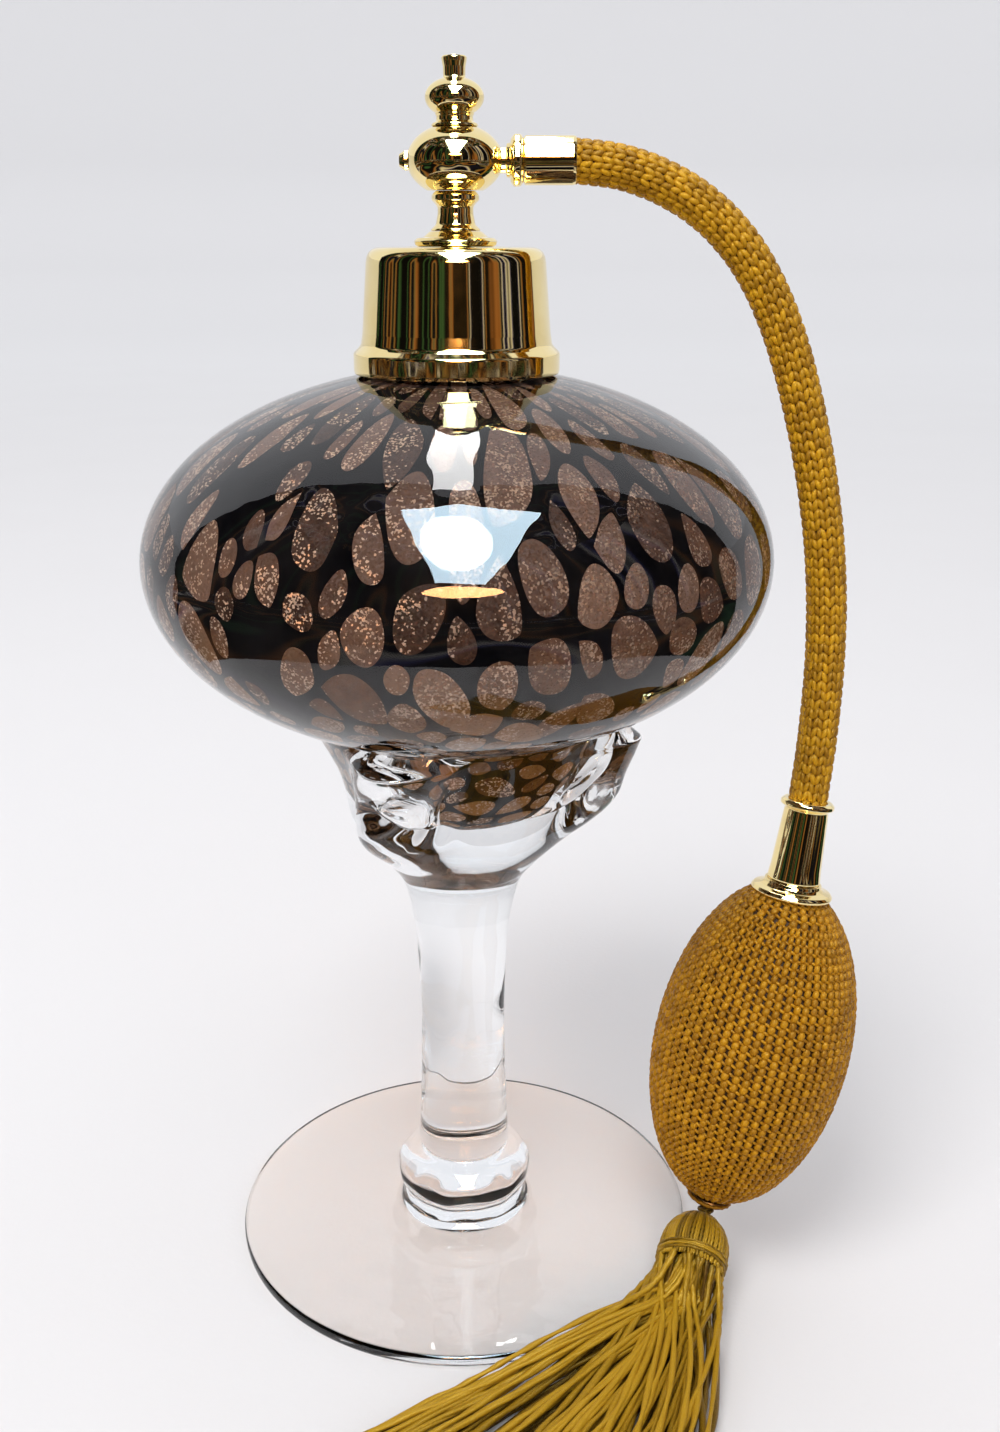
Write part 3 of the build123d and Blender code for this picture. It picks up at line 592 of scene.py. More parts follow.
# ---- clear glass: foot, knop, stem, cradle and the bowl's casing ------------
foot_r = box_mm("glass_foot")[1][0]
bowl_r = box_mm("bowl_casing")[1][0]
bowl_z = 138.2
bowl_up = 32.5
bowl_down = 33.1
casing_t = 1.3
colour_r = bowl_r - casing_t
colour_up = bowl_up - casing_t
colour_down = bowl_down - casing_t
bulge_r = 21.0
bulge_h = 18.5
bulge_z = bowl_z - colour_down * math.sqrt(1 - (bulge_r / colour_r) ** 2)
neck_r = 10.4
neck_bore_r = 8.0
neck_top_z = box_mm("bowl")[1][2]
cradle_top_z = 109.2
lobe_angles = tuple(math.radians(a) for a in (-120.0, -9.0, 120.0))


def ellipse_arc(radius, half, start, end, count):
    """(r, z) points of an ellipse round the bowl's centre; angles in degrees."""
    a = np.radians(np.linspace(start, end, count))
    return np.stack([radius * np.cos(a), bowl_z + half * np.sin(a)], 1)


def smooth_profile(knots, count):
    """A Catmull-Rom line through (r, z) knots."""
    knots = np.array(knots, dtype=float)
    padded = np.vstack([2 * knots[0] - knots[1], knots, 2 * knots[-1] - knots[-2]])
    line = []
    spans = len(knots) - 1
    for t in np.linspace(0, spans, count):
        i = min(int(t), spans - 1)
        u = t - i
        a, b, c, d = padded[i:i + 4]
        square, cube = 2 * a - 5 * b + 4 * c - d, 3 * b - a - 3 * c + d
        line.append(0.5 * (2 * b + (c - a) * u + square * u**2 + cube * u**3))
    return np.array(line)


def angle_between(a, b):
    """The turn from b to a, between -pi and pi."""
    return np.arctan2(np.sin(a - b), np.cos(a - b))


def lobe_swell(z, angles, number, lobe):
    """One pulled lobe of the cradle: a ridge with a fold beside it and a dimple."""
    twist = lobe + 0.012 * (z - 95) * (1 if number != 1 else -1)
    off = angle_between(angles, twist)
    width = 0.26 + 0.10 * np.clip((95 - z) / 12, 0, 1)
    rise = ease(np.clip((z - 80.0) / 16.0, 0, 1))
    fold = hump(off - 0.34, 0.10) * hump(z - 97, 7.0)
    dimple = hump(off, 0.13) * hump(z - 99, 3.2)
    return 6.8 * rise * hump(off, width) - 1.5 * fold - (3.0 if number == 0 else 0.2) * dimple


def cradle_swell(radii, heights, angles):
    """Adds the cradle's lobes, the foot's ripple, the knop's lumps and the stem's streak."""
    z = heights
    outer = (radii > 8) & (z > 76) & (z < cradle_top_z + 1.5)
    fade = np.clip((cradle_top_z + 1.5 - z) / 6.0, 0, 1)
    swell = sum(lobe_swell(z, angles, number, lobe) for number, lobe in enumerate(lobe_angles))
    valley = 1.6 * hump(z - 98, 9.0) * (1 - np.clip(swell / 3, 0, 1))
    radii = np.where(outer, radii + (swell - valley) * np.minimum(1, fade * 1.6), radii)

    ripple = hump(radii - 20, 6.5) * np.cos(radii * 1.25) * (1 + 0.3 * np.sin(2 * angles))
    foot_top = (z > 2.6) & (z < 4.7) & (radii < 40)
    heights = np.where(foot_top, heights + 0.09 * ripple, heights)

    knop_low, knop_high = 5, 17
    knop = (z > knop_low) & (z < knop_high) & (radii > 8.5) & (radii < 16)
    lumps = 0.12 * np.sin(3 * angles + z * 0.3) + 0.10 * np.sin(7 * angles - z * 0.5)
    lumps = lumps + 0.07 * np.sin(13 * angles)
    radii = np.where(knop, radii + lumps * hump(z - 11, 5), radii)

    stem_low, stem_length = 19, 55
    stem = (z > stem_low) & (z < stem_low + stem_length) & (radii > 6)
    along = np.sin((z - stem_low) / stem_length * math.pi)
    streak = np.cos(angles + 1.9 - 0.05 * (z - 45)) ** 24 * along
    return np.where(stem, radii - 0.22 * streak, radii), heights


def make_clear_glass():
    """Foot, knop, stem, cradle and casing: one fused body with no inner joint lines."""
    under = 0.12
    rim = [(0, under, 0), (foot_r, under, 1.1), (foot_r, 2.6, 0.9), (15.5, 4.3, 0)]
    rim = rounded(rim, closed=False)
    foot_top = smooth_profile([(38, 2.9), (26, 3.55), (17.0, 4.15), (13.6, 4.75)], 14)
    knop = smooth_profile([(12.6, 5.6), (12.1, 7.2), (12.0, 8.4), (12.9, 9.8), (13.3, 11.8),
                           (12.9, 13.6), (11.2, 15.8), (8.7, 17.2)], 34)
    stem = smooth_profile([(8.45, 17.5), (8.95, 18.1), (8.95, 20.0), (8.6, 28), (8.3, 38),
                           (8.15, 47), (8.45, 57), (9.1, 66), (10.2, 72.5), (11.4, 76.5)], 60)
    cup = smooth_profile([(12.9, 78.7), (15.4, 81.6), (18.6, 85.4), (21.4, 90), (23.0, 95),
                          (24.6, 100), (26.4, 105), (27.6, 108.0), (28.6, cradle_top_z + 0.9)], 70)
    casing = ellipse_arc(bowl_r, bowl_up, -57.0, 78.6, 96)
    below = casing[:, 1] < bowl_z
    casing[below, 1] = bowl_z + (casing[below, 1] - bowl_z) * bowl_down / bowl_up
    casing = casing[casing[:, 0] > neck_r]
    skin = 0.4
    inner_top = ellipse_arc(colour_r - skin, colour_up - skin, 79, 0, 50)
    inner_low = ellipse_arc(colour_r - skin, colour_down - skin, -2, -66.5, 40)
    a = np.radians(np.linspace(-8, -90, 26))
    inner_end = np.stack([(bulge_r - skin) * np.cos(a), bulge_z + (bulge_h - skin) * np.sin(a)], 1)
    line = np.vstack([rim[:-1], foot_top, knop, stem, cup, casing,
                      inner_top, inner_low, inner_end])
    outline = [(r, z, 0) for r, z in line]
    nodes = ["glass_foot", "glass_knop", "glass_stem", "cradle_cup", "bowl_casing"]
    nodes += [f"cradle_lobe_{i}" for i in (1, 2, 3)]
    piece = turned("clear_glass_body", outline, glass, "vessel", "clear_glass", nodes,
                   segments=288, closed=False, warp=cradle_swell)
    piece.modifiers.clear()


make_clear_glass()


# ---- the coloured bowl and its spots ---------------------------------------
def colour_profile():
    """The coloured glass's outer line, from the neck down to the cradle."""
    top = ellipse_arc(colour_r, colour_up, 78.8, 0, 90)
    low = ellipse_arc(colour_r, colour_down, -1, -67.0, 70)
    a = np.radians(np.linspace(-4, -89.9, 40))
    end = np.stack([bulge_r * np.cos(a), bulge_z + bulge_h * np.sin(a)], 1)
    return np.vstack([top, low, end])


def make_bowl():
    """The black glass, hollow, with its neck."""
    outer = colour_profile()
    wall = 2.6
    top = ellipse_arc(colour_r - wall, colour_up - wall, -88, 0, 50)
    top[:, 1] = bowl_z + (top[:, 1] - bowl_z) * (colour_down - wall) / (colour_up - wall)
    upper = ellipse_arc(colour_r - wall, colour_up - wall, 2, 80.8, 50)
    neck = np.array([
        (neck_bore_r, 171.0), (neck_bore_r, neck_top_z - 0.3), (neck_bore_r + 0.4, neck_top_z),
        (neck_r - 0.4, neck_top_z), (neck_r, neck_top_z - 0.4), (neck_r, 170.6),
    ])
    line = np.vstack([[(0, bowl_z - colour_down + wall)], top[1:], upper, neck, outer])
    line = np.vstack([line, [(0, bulge_z - bulge_h)]])
    turned("bowl_shell", [(r, z, 0) for r, z in line], ground_glass, "vessel", "spotted_glass",
           ["bowl"], segments=256, closed=False)


def surface_reader(profile, lift):
    """A function from arc length along a profile to (r, z), lifted outwards."""
    run = run_length(profile)
    tangent = np.gradient(profile, run, axis=0)
    normal = np.stack([-tangent[:, 1], tangent[:, 0]], 1)
    normal /= np.linalg.norm(normal, axis=1)[:, None]
    raised = profile + normal * lift

    def read(s):
        return np.interp(s, run, raised[:, 0]), np.interp(s, run, raised[:, 1])
    return read, run[-1]


def clip_cell(cell, mid, direction):
    """The part of a convex polygon on the near side of a line."""
    kept = []
    for i, here in enumerate(cell):
        there = cell[(i + 1) % len(cell)]
        a = (here - mid) @ direction
        b = (there - mid) @ direction
        if a <= 0:
            kept.append(here)
        if a * b < 0:
            kept.append(here + (there - here) * a / (a - b))
    return kept


def smooth_loop(loop, rounds=3):
    """A closed outline with its corners cut again and again (Chaikin)."""
    loop = np.array(loop)
    for _ in range(rounds):
        ahead = np.roll(loop, -1, axis=0)
        corners = [0.75 * loop + 0.25 * ahead, 0.25 * loop + 0.75 * ahead]
        loop = np.stack(corners, 1).reshape(-1, 2)
    return loop


spots_around = 42
equator_s = 54.0
spot_tries = 15000
spots_left_out = 0.10
spot_lift = 0.06
corner_of_cell = (0.7, 0.95)


def scatter_spots(read, total, width_at, stretch_at):
    """(angle, arc length, size) of the spots, tried at random and kept if clear of the rest."""
    seeds = np.zeros((0, 3))
    for _ in range(spot_tries):
        s = random.uniform(1.5, total - 1.5)
        phi = random.uniform(-math.pi, math.pi)
        size = random.choice((0.55, 0.78, 0.9, 1.0, 1.12))
        mid = (s + seeds[:, 1]) / 2
        dx = angle_between(phi, seeds[:, 0]) * read(mid)[0] / width_at(mid)
        dy = (s - seeds[:, 1]) / (width_at(mid) * stretch_at(mid))
        if (np.hypot(dx, dy) >= 0.86 * (size + seeds[:, 2]) / 2).all():
            seeds = np.vstack([seeds, (phi, s, size)])
    return seeds


def spot_outline(cell):
    """A rounded chip inside its cell: (centre, outline)."""
    lean = random.gauss(0, 0.16)
    loop = smooth_loop(cell)
    centre = loop.mean(axis=0)
    loop = centre + (loop - centre) * random.uniform(0.66, 0.92)
    reach = np.linalg.norm(loop - centre, axis=1)
    loop = centre + (loop - centre) * (0.72 + 0.28 * reach.mean() / reach)[:, None]
    loop[:, 0] += lean * loop[:, 1]
    return centre, loop


def make_spots():
    """Chips of goldstone in the black glass, drawn out long towards the neck."""
    read, total = surface_reader(colour_profile(), spot_lift)

    def width_at(s):
        """Width of one spot: it narrows to the neck, and stays broad under the bowl."""
        narrow = 2 * math.pi * read(s)[0] / spots_around
        return np.where(s > equator_s + 12, np.maximum(narrow, 6.8), narrow)

    def stretch_at(s):
        """Length of a spot over its width."""
        neck = np.clip(1 - s / (equator_s + 2), 0, 1)
        low = np.clip((s - equator_s - 14) / 12, 0, 1)
        return 1.42 + 4.4 * neck**1.3 - 0.55 * low

    seeds = scatter_spots(read, total, width_at, stretch_at)
    x, y = corner_of_cell
    corners = ((-x, -y), (x, -y), (x, y), (-x, y))
    rings = (0.18, 0.36, 0.54, 0.72, 0.87, 1.0)
    verts, faces, tones = [], [], []
    for phi, s, size in seeds:
        if random.random() < spots_left_out:
            continue
        w = float(width_at(s))
        h = w * float(stretch_at(s))
        around_here = angle_between(seeds[:, 0], phi) * read(s)[0] / w
        along_here = (seeds[:, 1] - s) / h
        gaps = np.hypot(around_here, along_here)
        cell = [np.array(corner, dtype=float) for corner in corners]
        for other in np.flatnonzero((gaps > 1e-6) & (gaps < 2.2)):
            share = size / (size + seeds[other, 2])
            offset = np.array((around_here[other], along_here[other]))
            cell = clip_cell(cell, offset * share, offset)
        if len(cell) < 3:
            continue
        centre, loop = spot_outline(cell)
        start = len(verts)
        layers = [centre + (loop - centre) * share for share in rings] + [centre[None]]
        for flat in layers:
            radius, height = read(np.clip(s + flat[:, 1] * h, 0.3, total - 0.05))
            angle = phi + flat[:, 0] * w / np.maximum(read(s)[0], 1.0)
            points = np.stack([radius * np.cos(angle), radius * np.sin(angle), height], 1)
            verts += points.tolist()
        count = len(loop)
        hub = len(verts) - 1
        new = grid_faces(len(rings), count, False, True, start)
        new += [(hub, start + (j + 1) % count, start + j) for j in range(count)]
        faces += [tuple(reversed(face)) for face in new]
        tones += [random.uniform(0.0, 0.75)] * len(new)
    piece = new_piece("bowl_spots", verts, faces, goldstone, "vessel")
    paint_faces(piece, "tone", tones)


make_bowl()
make_spots()


# ---- gilt fittings ----------------------------------------------------------
band_r = box_mm("cap_shell")[1][0]
band_z = box_mm("cap_shell")[0][2]
cap_top_z = box_mm("cap_shell")[1][2]
head_z = hose_exit[2] / MM
spigot_r = 2.6
hose_bore = 3.58


def gilt_part(name, outline, body, node, **more):
    """A turned gilt fitting that stands for one CAD node."""
    turned(name, outline, gilt, body, "gilt_brass", [node], **more)


def make_neck_ring():
    """The ring cemented on the neck, with its thread."""
    (_, _, low), (crest, _, high) = box_mm("neck_ring")
    pitch, depth = 2.0, 0.75
    root = crest - depth
    inside = neck_r + 0.02
    rows = [(inside, low + 0.02), (root, low), (crest, low + 0.3), (crest, low + 1.0)]
    rows += [(root, z) for z in np.linspace(low + 1.2, high - 0.9, 60)]
    rows += [(root, high - 0.4), (root - 0.4, high), (neck_bore_r + 0.3, high),
             (neck_bore_r, high - 0.2), (neck_bore_r, neck_top_z + 0.02),
             (inside, neck_top_z + 0.02)]

    def ridge(radii, heights, angles):
        """Raises the thread on the plain part of the ring."""
        turn = (heights - low) / pitch - angles / (2 * math.pi)
        saw = np.abs((turn % 1.0) * 2 - 1)
        tooth = np.clip((saw - 0.25) / 0.5, 0, 1) * depth
        plain_part = (heights > low + 1.1) & (heights < high - 0.6)
        band = (np.abs(radii - root) < 1e-6) & plain_part
        ends = np.clip(np.minimum(heights - low - 1.1, high - 0.8 - heights) / 0.8, 0, 1)
        return np.where(band, radii + tooth * ends, radii), heights

    gilt_part("threaded_neck_ring", [(r, z, 0) for r, z in rows], "vessel", "neck_ring",
              warp=ridge)


def make_cap():
    """The screw cap's shell: a band below, a slight taper and a rounded shoulder."""
    b, top = band_z, cap_top_z
    gilt_part("screw_cap", [
        (band_r - 0.5, b, 0.2), (band_r - 0.12, b + 0.05, 0.25), (band_r, b + 0.7, 0.5),
        (band_r, 173.0, 0.7), (band_r - 0.9, 173.9, 0.6), (16.2, 174.4, 0.8), (15.9, 176.3, 1.5),
        (14.85, top, 2.6), (8.6, top, 0.3), (8.3, top - 0.15, 0.1), (3.3, top - 0.12, 0.1),
        (3.3, top - 0.5, 0.1), (14.25, top - 0.5, 2.3), (15.35, 176.2, 1.5), (15.8, 174.1, 0.8),
        (band_r - 0.55, 172.6, 0.6), (band_r - 0.55, b + 0.5, 0.2),
    ], "cap", "cap_shell", segments=192)


def make_washer():
    """The stepped ring under the spray head."""
    (_, _, low), (edge, _, high) = box_mm("cap_washer")
    bore = spigot_r + 0.05
    gilt_part("collar_washer", [
        (bore, low, 0), (edge - 0.6, low, 0.1), (edge - 0.25, low + 0.2, 0.3),
        (edge, low + 0.85, 0.3), (edge - 0.5, low + 1.35, 0.4), (5.4, low + 1.5, 0.5),
        (4.7, high - 0.3, 0.4), (4.3, high, 0.2), (bore, high, 0),
    ], "collar_seat", "cap_washer")


def make_pedestal():
    """The turned foot of the spray head, on its spigot."""
    (_, _, low), (_, _, high) = box_mm("pedestal")
    base = box_mm("cap_washer")[1][2] + 0.05
    socket = 1.78
    gilt_part("head_pedestal", [
        (socket, low, 0), (spigot_r, low, 0.2), (spigot_r, base, 0), (4.15, base, 0.15),
        (4.0, base + 0.35, 0.3), (3.3, 193.5, 0.8), (2.95, 195.2, 2.0), (2.95, 196.2, 0.8),
        (3.35, 196.75, 0.2), (3.95, 197.3, 0.45), (3.9, 198.1, 0.4), (3.3, high, 0.2),
        (0.9, high, 0), (0.9, 189.1, 0), (socket, 189.1, 0),
    ], "sprayer", "pedestal")


def make_finial():
    """The small ball on top, with its seat and tip."""
    (_, _, low), (_, _, high) = box_mm("finial")
    ball_z, ball_r, ball_h = 212.9, 4.8, 3.1
    a = np.radians(np.linspace(-50, 66, 30))
    ball = [(ball_r * math.cos(k), ball_z + ball_h * math.sin(k), 0) for k in a]
    gilt_part("head_finial", [
        (0, low, 0), (1.35, low, 0.1), (1.45, low + 0.2, 0), (1.45, 208.52, 0),
        (3.85, 208.52, 0.15), (3.7, 208.95, 0.3), (3.05, 209.3, 0.4), (2.95, 210.05, 0.5),
        (3.2, 210.4, 0.2), *ball, (1.78, 216.0, 0.3), (1.82, 217.4, 0.4), (2.0, 218.2, 0.3),
        (2.05, 218.75, 0.15), (1.85, high, 0.15), (1.2, high, 0.1), (1.0, high - 1.4, 0.1),
        (0, high - 1.5, 0),
    ], "sprayer", "finial", closed=False)


ALONG_HOSE = axis_frame((0, 0, head_z), (1, 0, 0))


def make_nipple():
    """The barbed nipple of the hose, with its bead."""
    bore, tail, valley = 0.8, 1.58, 1.35
    gilt_part("hose_nipple_turned", [
        (bore, 3.5, 0), (2.0, 3.5, 0.1), (2.0, 8.3, 0.1), (2.6, 8.4, 0.2), (2.7, 8.95, 0.2),
        (3.4, 9.1, 0.2), (4.05, 9.6, 0.55), (4.05, 10.7, 0.55), (3.4, 11.2, 0.15),
        (tail, 11.2, 0), (tail, 13.0, 0), (valley, 14.2, 0), (tail, 14.3, 0), (valley, 15.9, 0),
        (tail, 16.0, 0), (1.2, 19.0, 0.1), (bore, 19.0, 0),
    ], "hose_set", "hose_nipple", place=ALONG_HOSE)


def make_hose_ferrule():
    """The plain sleeve that grips the braid at the spray head."""
    (start, _, _), (end, _, _) = box_mm("hose_ferrule")
    outer = 3.83
    gilt_part("hose_ferrule_sleeve", [
        (1.6, start, 0), (outer - 0.25, start, 0.12), (outer, start + 0.25, 0.12),
        (outer, end - 0.5, 0.2), (outer - 0.1, end, 0.08), (hose_bore, end, 0.05),
        (hose_bore, start + 0.6, 0), (1.6, start + 0.6, 0),
    ], "hose_set", "hose_ferrule", place=ALONG_HOSE)


def make_head_ball():
    """The mixing head: a flattened ball between two necks."""
    radius, half = 7.9, 5.7
    (_, _, low), (_, _, high) = box_mm("head_ball")
    start = math.degrees(math.asin((low - head_z) / half))
    end = math.degrees(math.asin((high - head_z) / half))
    a = np.radians(np.linspace(start, end, 56))
    ball = [(radius * math.cos(k), head_z + half * math.sin(k), 0) for k in a]
    below = [(0.9, head_z - 1.6, 0), (0.9, low, 0)]
    above = [(1.5, high, 0), (1.5, head_z + 2.6, 0)]
    gilt_part("mixing_head", below + ball + above, "sprayer", "head_ball", segments=160)


def make_nozzle():
    """The spray nozzle, opposite the hose."""
    gilt_part("spray_nozzle", [
        (0.3, -9.1, 0.05), (0.95, -9.1, 0.15), (1.3, -8.55, 0.2), (1.57, -8.2, 0.1),
        (1.57, -3.0, 0.05), (0.7, -3.0, 0), (0.7, -7.6, 0), (0.3, -8.4, 0),
    ], "sprayer", "nozzle_tip", place=ALONG_HOSE, segments=64)


ferrule_place = axis_frame((61.3, -8.5, 75.8), (0.143, 0.143, 0.978))
collar_bore = 4.07


def make_bulb_ferrule():
    """The long sleeve between the hose and the bulb."""
    bore = collar_bore
    gilt_part("bulb_ferrule_sleeve", [
        (bore, 2.8, 0), (4.75, 2.8, 0.1), (4.85, 3.3, 0.15), (4.62, 5.5, 1.0), (4.1, 15.2, 1.5),
        (3.98, 16.5, 0.3), (4.35, 16.8, 0.2), (4.9, 17.1, 0.35), (4.9, 17.75, 0.35),
        (4.4, 18.2, 0.25), (hose_bore, 18.2, 0.15), (hose_bore, 8.5, 0), (bore, 8.4, 0),
    ], "hose_set", "bulb_ferrule", place=ferrule_place)


def make_bulb_collar():
    """The flared collar on the bulb's neck."""
    gilt_part("bulb_collar_flange", [
        (7.0, 0.3, 0.1), (7.35, 0.32, 0.15), (7.5, 0.8, 0.25), (7.1, 1.35, 0.4),
        (5.9, 1.65, 0.6), (5.35, 2.2, 0.4), (5.2, 2.75, 0.1), (collar_bore, 2.75, 0),
        (collar_bore, 2.3, 0), (4.9, 1.6, 0.3), (6.9, 0.85, 0.3),
    ], "hose_set", "bulb_collar", place=ferrule_place)


for make in (make_neck_ring, make_cap, make_washer, make_pedestal, make_head_ball, make_finial,
             make_nozzle, make_nipple, make_hose_ferrule, make_bulb_ferrule, make_bulb_collar):
    make()


# ---- hose: knitted sleeve over a rubber tube --------------------------------
def travelling_frames(line):
    """Two side vectors at each point of a line, which turn as little as they can."""
    tangents = np.gradient(line, axis=0)
    tangents /= np.linalg.norm(tangents, axis=1)[:, None]
    side = np.array((0.0, 1.0, 0.0))
    sides = []
    for tangent in tangents:
        side = side - tangent * (side @ tangent)
        side /= np.linalg.norm(side)
        sides.append(side)
    sides = np.array(sides)
    return sides, np.cross(tangents, sides)


def tube_points(line, radius, sides_count):
    """Points of a tube round a line: radius is one number, or one for each point."""
    side, other = travelling_frames(line)
    turn = np.linspace(0, 2 * math.pi, sides_count, endpoint=False)
    ring = np.cos(turn)[None, :, None] * side[:, None]
    ring = ring + np.sin(turn)[None, :, None] * other[:, None]
    return (line[:, None] + radius * ring).reshape(-1, 3)


def cord_tube(line, radius, sides=8, ply=2, twist=2.0, groove=0.22):
    """A plied thread along a line: its section has one bulge for each ply."""
    turn = np.linspace(0, 2 * math.pi, sides, endpoint=False)
    phase = run_length(line)[:, None] * twist
    bulge = 1 - groove + groove * np.cos(ply * (turn[None, :] - phase))
    ends = np.ones(len(line))
    ends[0] = ends[-1] = 0.55
    r = radius * bulge * ends[:, None]
    return tube_points(line, r[..., None], sides), capped_tube_faces(len(line), sides)


def joined(parts):
    """Many (points, faces) as one, with the number of faces of each."""
    verts, faces, counts = [], [], []
    start = 0
    for part_verts, part_faces in parts:
        verts.append(part_verts)
        faces += [tuple(index + start for index in face) for face in part_faces]
        counts.append(len(part_faces))
        start += len(part_verts)
    return np.vstack(verts), faces, counts


def make_hose():
    """Two leaning stitches to each loop of the braid, over a plain rubber tube."""
    line = nurbs_line(hose_route)
    run = run_length(line)
    sides, others = travelling_frames(line)
    base_r, core_r, core_sides = 3.2, 3.02, 24
    columns, pitch = 11, 1.72

    def along(s, table):
        """A table's vectors, read at a distance along the hose."""
        return np.stack([np.interp(s, run, table[:, k]) for k in range(3)], -1)

    def on_hose(across, s, dx, dy, dz):
        """Points on the hose's skin, from the turn round it and the distance along it."""
        angle = across + dx / base_r
        at = s + dy
        ring = np.cos(angle)[..., None] * along(at, sides)
        ring = ring + np.sin(angle)[..., None] * along(at, others)
        return along(at, line) + (base_r + dz)[..., None] * ring

    centres, leans, sizes = [], [], []
    for row in range(int(run[-1] / pitch)):
        for column in range(columns):
            for hand in (-1, 1):
                across = 2 * math.pi * (column + 0.25 * hand) / columns
                centres.append((across + random.gauss(0, 0.012),
                                (row + 0.5) * pitch + random.gauss(0, 0.05)))
                leans.append((hand * 0.34, 1.08))
                sizes.append((0.52, random.uniform(0.42, 0.48)))
    verts, faces, per = leaf_field(centres, leans, sizes, on_hose)
    braid = new_piece("hose_braid_knit", verts, faces, braid_thread, "hose_set")
    paint_faces(braid, "tone", np.repeat(rng.uniform(0.15, 0.55, len(centres)), per))
    core = new_piece("hose_rubber_core", tube_points(line, core_r, core_sides),
                     capped_tube_faces(len(line), core_sides), dyed_rubber,
                     "hose_set")
    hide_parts("hose_braid")
    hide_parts("hose_core")


make_hose()

# ---- bulb: knitted net over the rubber --------------------------------------
bulb_place = axis_frame((48.0, -17.0, 15.8), (0.2145, 0.137, 0.967))
bulb_r = 18.2
bulb_half = 32.3
net_top = 62.7
net_tail = 0.9


def bulb_arc(lift):
    """(distance from the axis, height) of the bulb's skin, tail to top."""
    t = np.linspace(-math.pi / 2, math.pi / 2, 400)
    r = (bulb_r - lift) * np.cos(t)
    s = bulb_half + (bulb_half - lift) * np.sin(t)
    return np.stack([r, s], 1)


def gathered_tail():
    """The net's thread, wound in over the bulb's tail: (points, faces)."""
    origin, side, other, axis = bulb_place
    t = np.linspace(0, 1, 240)
    a = 2 * math.pi * 4 * t
    radius = 4.4 - 2.3 * t
    line = origin + radius[:, None] * (np.cos(a)[:, None] * side + np.sin(a)[:, None] * other)
    line = line + (0.25 - 1.2 * np.sqrt(t))[:, None] * axis
    return cord_tube(line, 0.42, sides=8)


def make_net():
    """A knit of upright stitches, with a small cross stitch between each two."""
    arc = bulb_arc(0.5)
    run = run_length(arc)
    tangent = np.gradient(arc, run, axis=0)
    normal = np.stack([tangent[:, 1], -tangent[:, 0]], 1)
    origin, side, other, axis = bulb_place

    def read(s, table, column):
        return np.interp(s, run, table[:, column])

    def on_bulb(across, along, dx, dy, dz):
        """Points on the bulb's skin, from the turn round it and the distance along it."""
        at = along + dy
        angle = across + dx / np.maximum(read(along, arc, 0), 2.0)
        radius = read(at, arc, 0) + dz * read(at, normal, 0)
        height = read(at, arc, 1) + dz * read(at, normal, 1)
        ring = np.cos(angle)[..., None] * side + np.sin(angle)[..., None] * other
        return origin + radius[..., None] * ring + height[..., None] * axis

    start = float(np.interp(net_tail, arc[:, 1], run)) + 1.0
    end = float(np.interp(net_top, arc[:, 1], run)) - 0.4
    pitch, full_columns = 1.5, 58
    centres, leans, sizes = [], [], []
    for row in range(int((end - start) / pitch) + 1):
        along = start + row * pitch
        radius = float(read(along, arc, 0))
        columns = full_columns if radius > 9.5 else full_columns // 2
        gauge = 2 * math.pi * radius / columns
        for column in range(columns):
            across = 2 * math.pi * (column + 0.012 * row * columns / full_columns) / columns
            centres.append((across + random.gauss(0, 0.005), along + random.gauss(0, 0.05)))
            leans.append((gauge * 0.16, pitch * 0.56))
            sizes.append((min(gauge * 0.39, 0.76), random.uniform(0.54, 0.64)))
            centres.append((across + math.pi / columns, along + random.gauss(pitch / 2, 0.05)))
            leans.append((gauge * 0.40, -pitch * 0.22))
            sizes.append((0.30, random.uniform(0.26, 0.32)))
    verts, faces, per = leaf_field(centres, leans, sizes, on_bulb)
    tail_verts, tail_faces = gathered_tail()
    verts, faces, _ = joined([(verts, faces), (tail_verts, tail_faces)])
    net = new_piece("bulb_net_knit", verts, faces, net_thread, "hose_set", ["bulb_net"])
    tones = np.repeat(rng.uniform(0.15, 0.52, len(centres)), per)
    paint_faces(net, "tone", np.concatenate([tones, np.full(len(tail_faces), 0.15)]))

    skin = bulb_arc(0.95)
    skin = skin[(skin[:, 1] > 1.6) & (skin[:, 1] < 62.6)][::8]
    inner = bulb_arc(3.0)
    inner = inner[(inner[:, 1] > 3.6) & (inner[:, 1] < 60.4)][::-1][::10]
    outline = [(r, s, 0) for r, s in np.vstack([skin, inner])]
    rubber = turned("bulb_rubber_shell", outline, dyed_rubber, "hose_set", "hose_rubber",
                    ["rubber_bulb"], place=bulb_place, segments=96)
    return net, rubber


net, rubber = make_net()
squeeze_axis = np.cross(bulb_place[3], (1.0, 0.0, 0.0))
squeeze_axis = tuple(squeeze_axis / np.linalg.norm(squeeze_axis))
for soft in (net, rubber):
    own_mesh(soft)

# ---- tassel -----------------------------------------------------------------
tassel_top = np.array((46.5, -18.2, 12.6))
tassel_down = np.array((-0.31, -0.85, -0.43))
tassel_down /= np.linalg.norm(tassel_down)
tassel_place = axis_frame(tassel_top, tassel_down)
strand_r = 0.72


def bezier(points, count):
    """A smooth line from its control points (de Casteljau)."""
    t = np.linspace(0, 1, count)[:, None]
    layer = [np.array(p, dtype=float) + 0 * t for p in points]
    while len(layer) > 1:
        layer = [(1 - t) * a + t * b for a, b in zip(layer, layer[1:])]
    return layer[0]


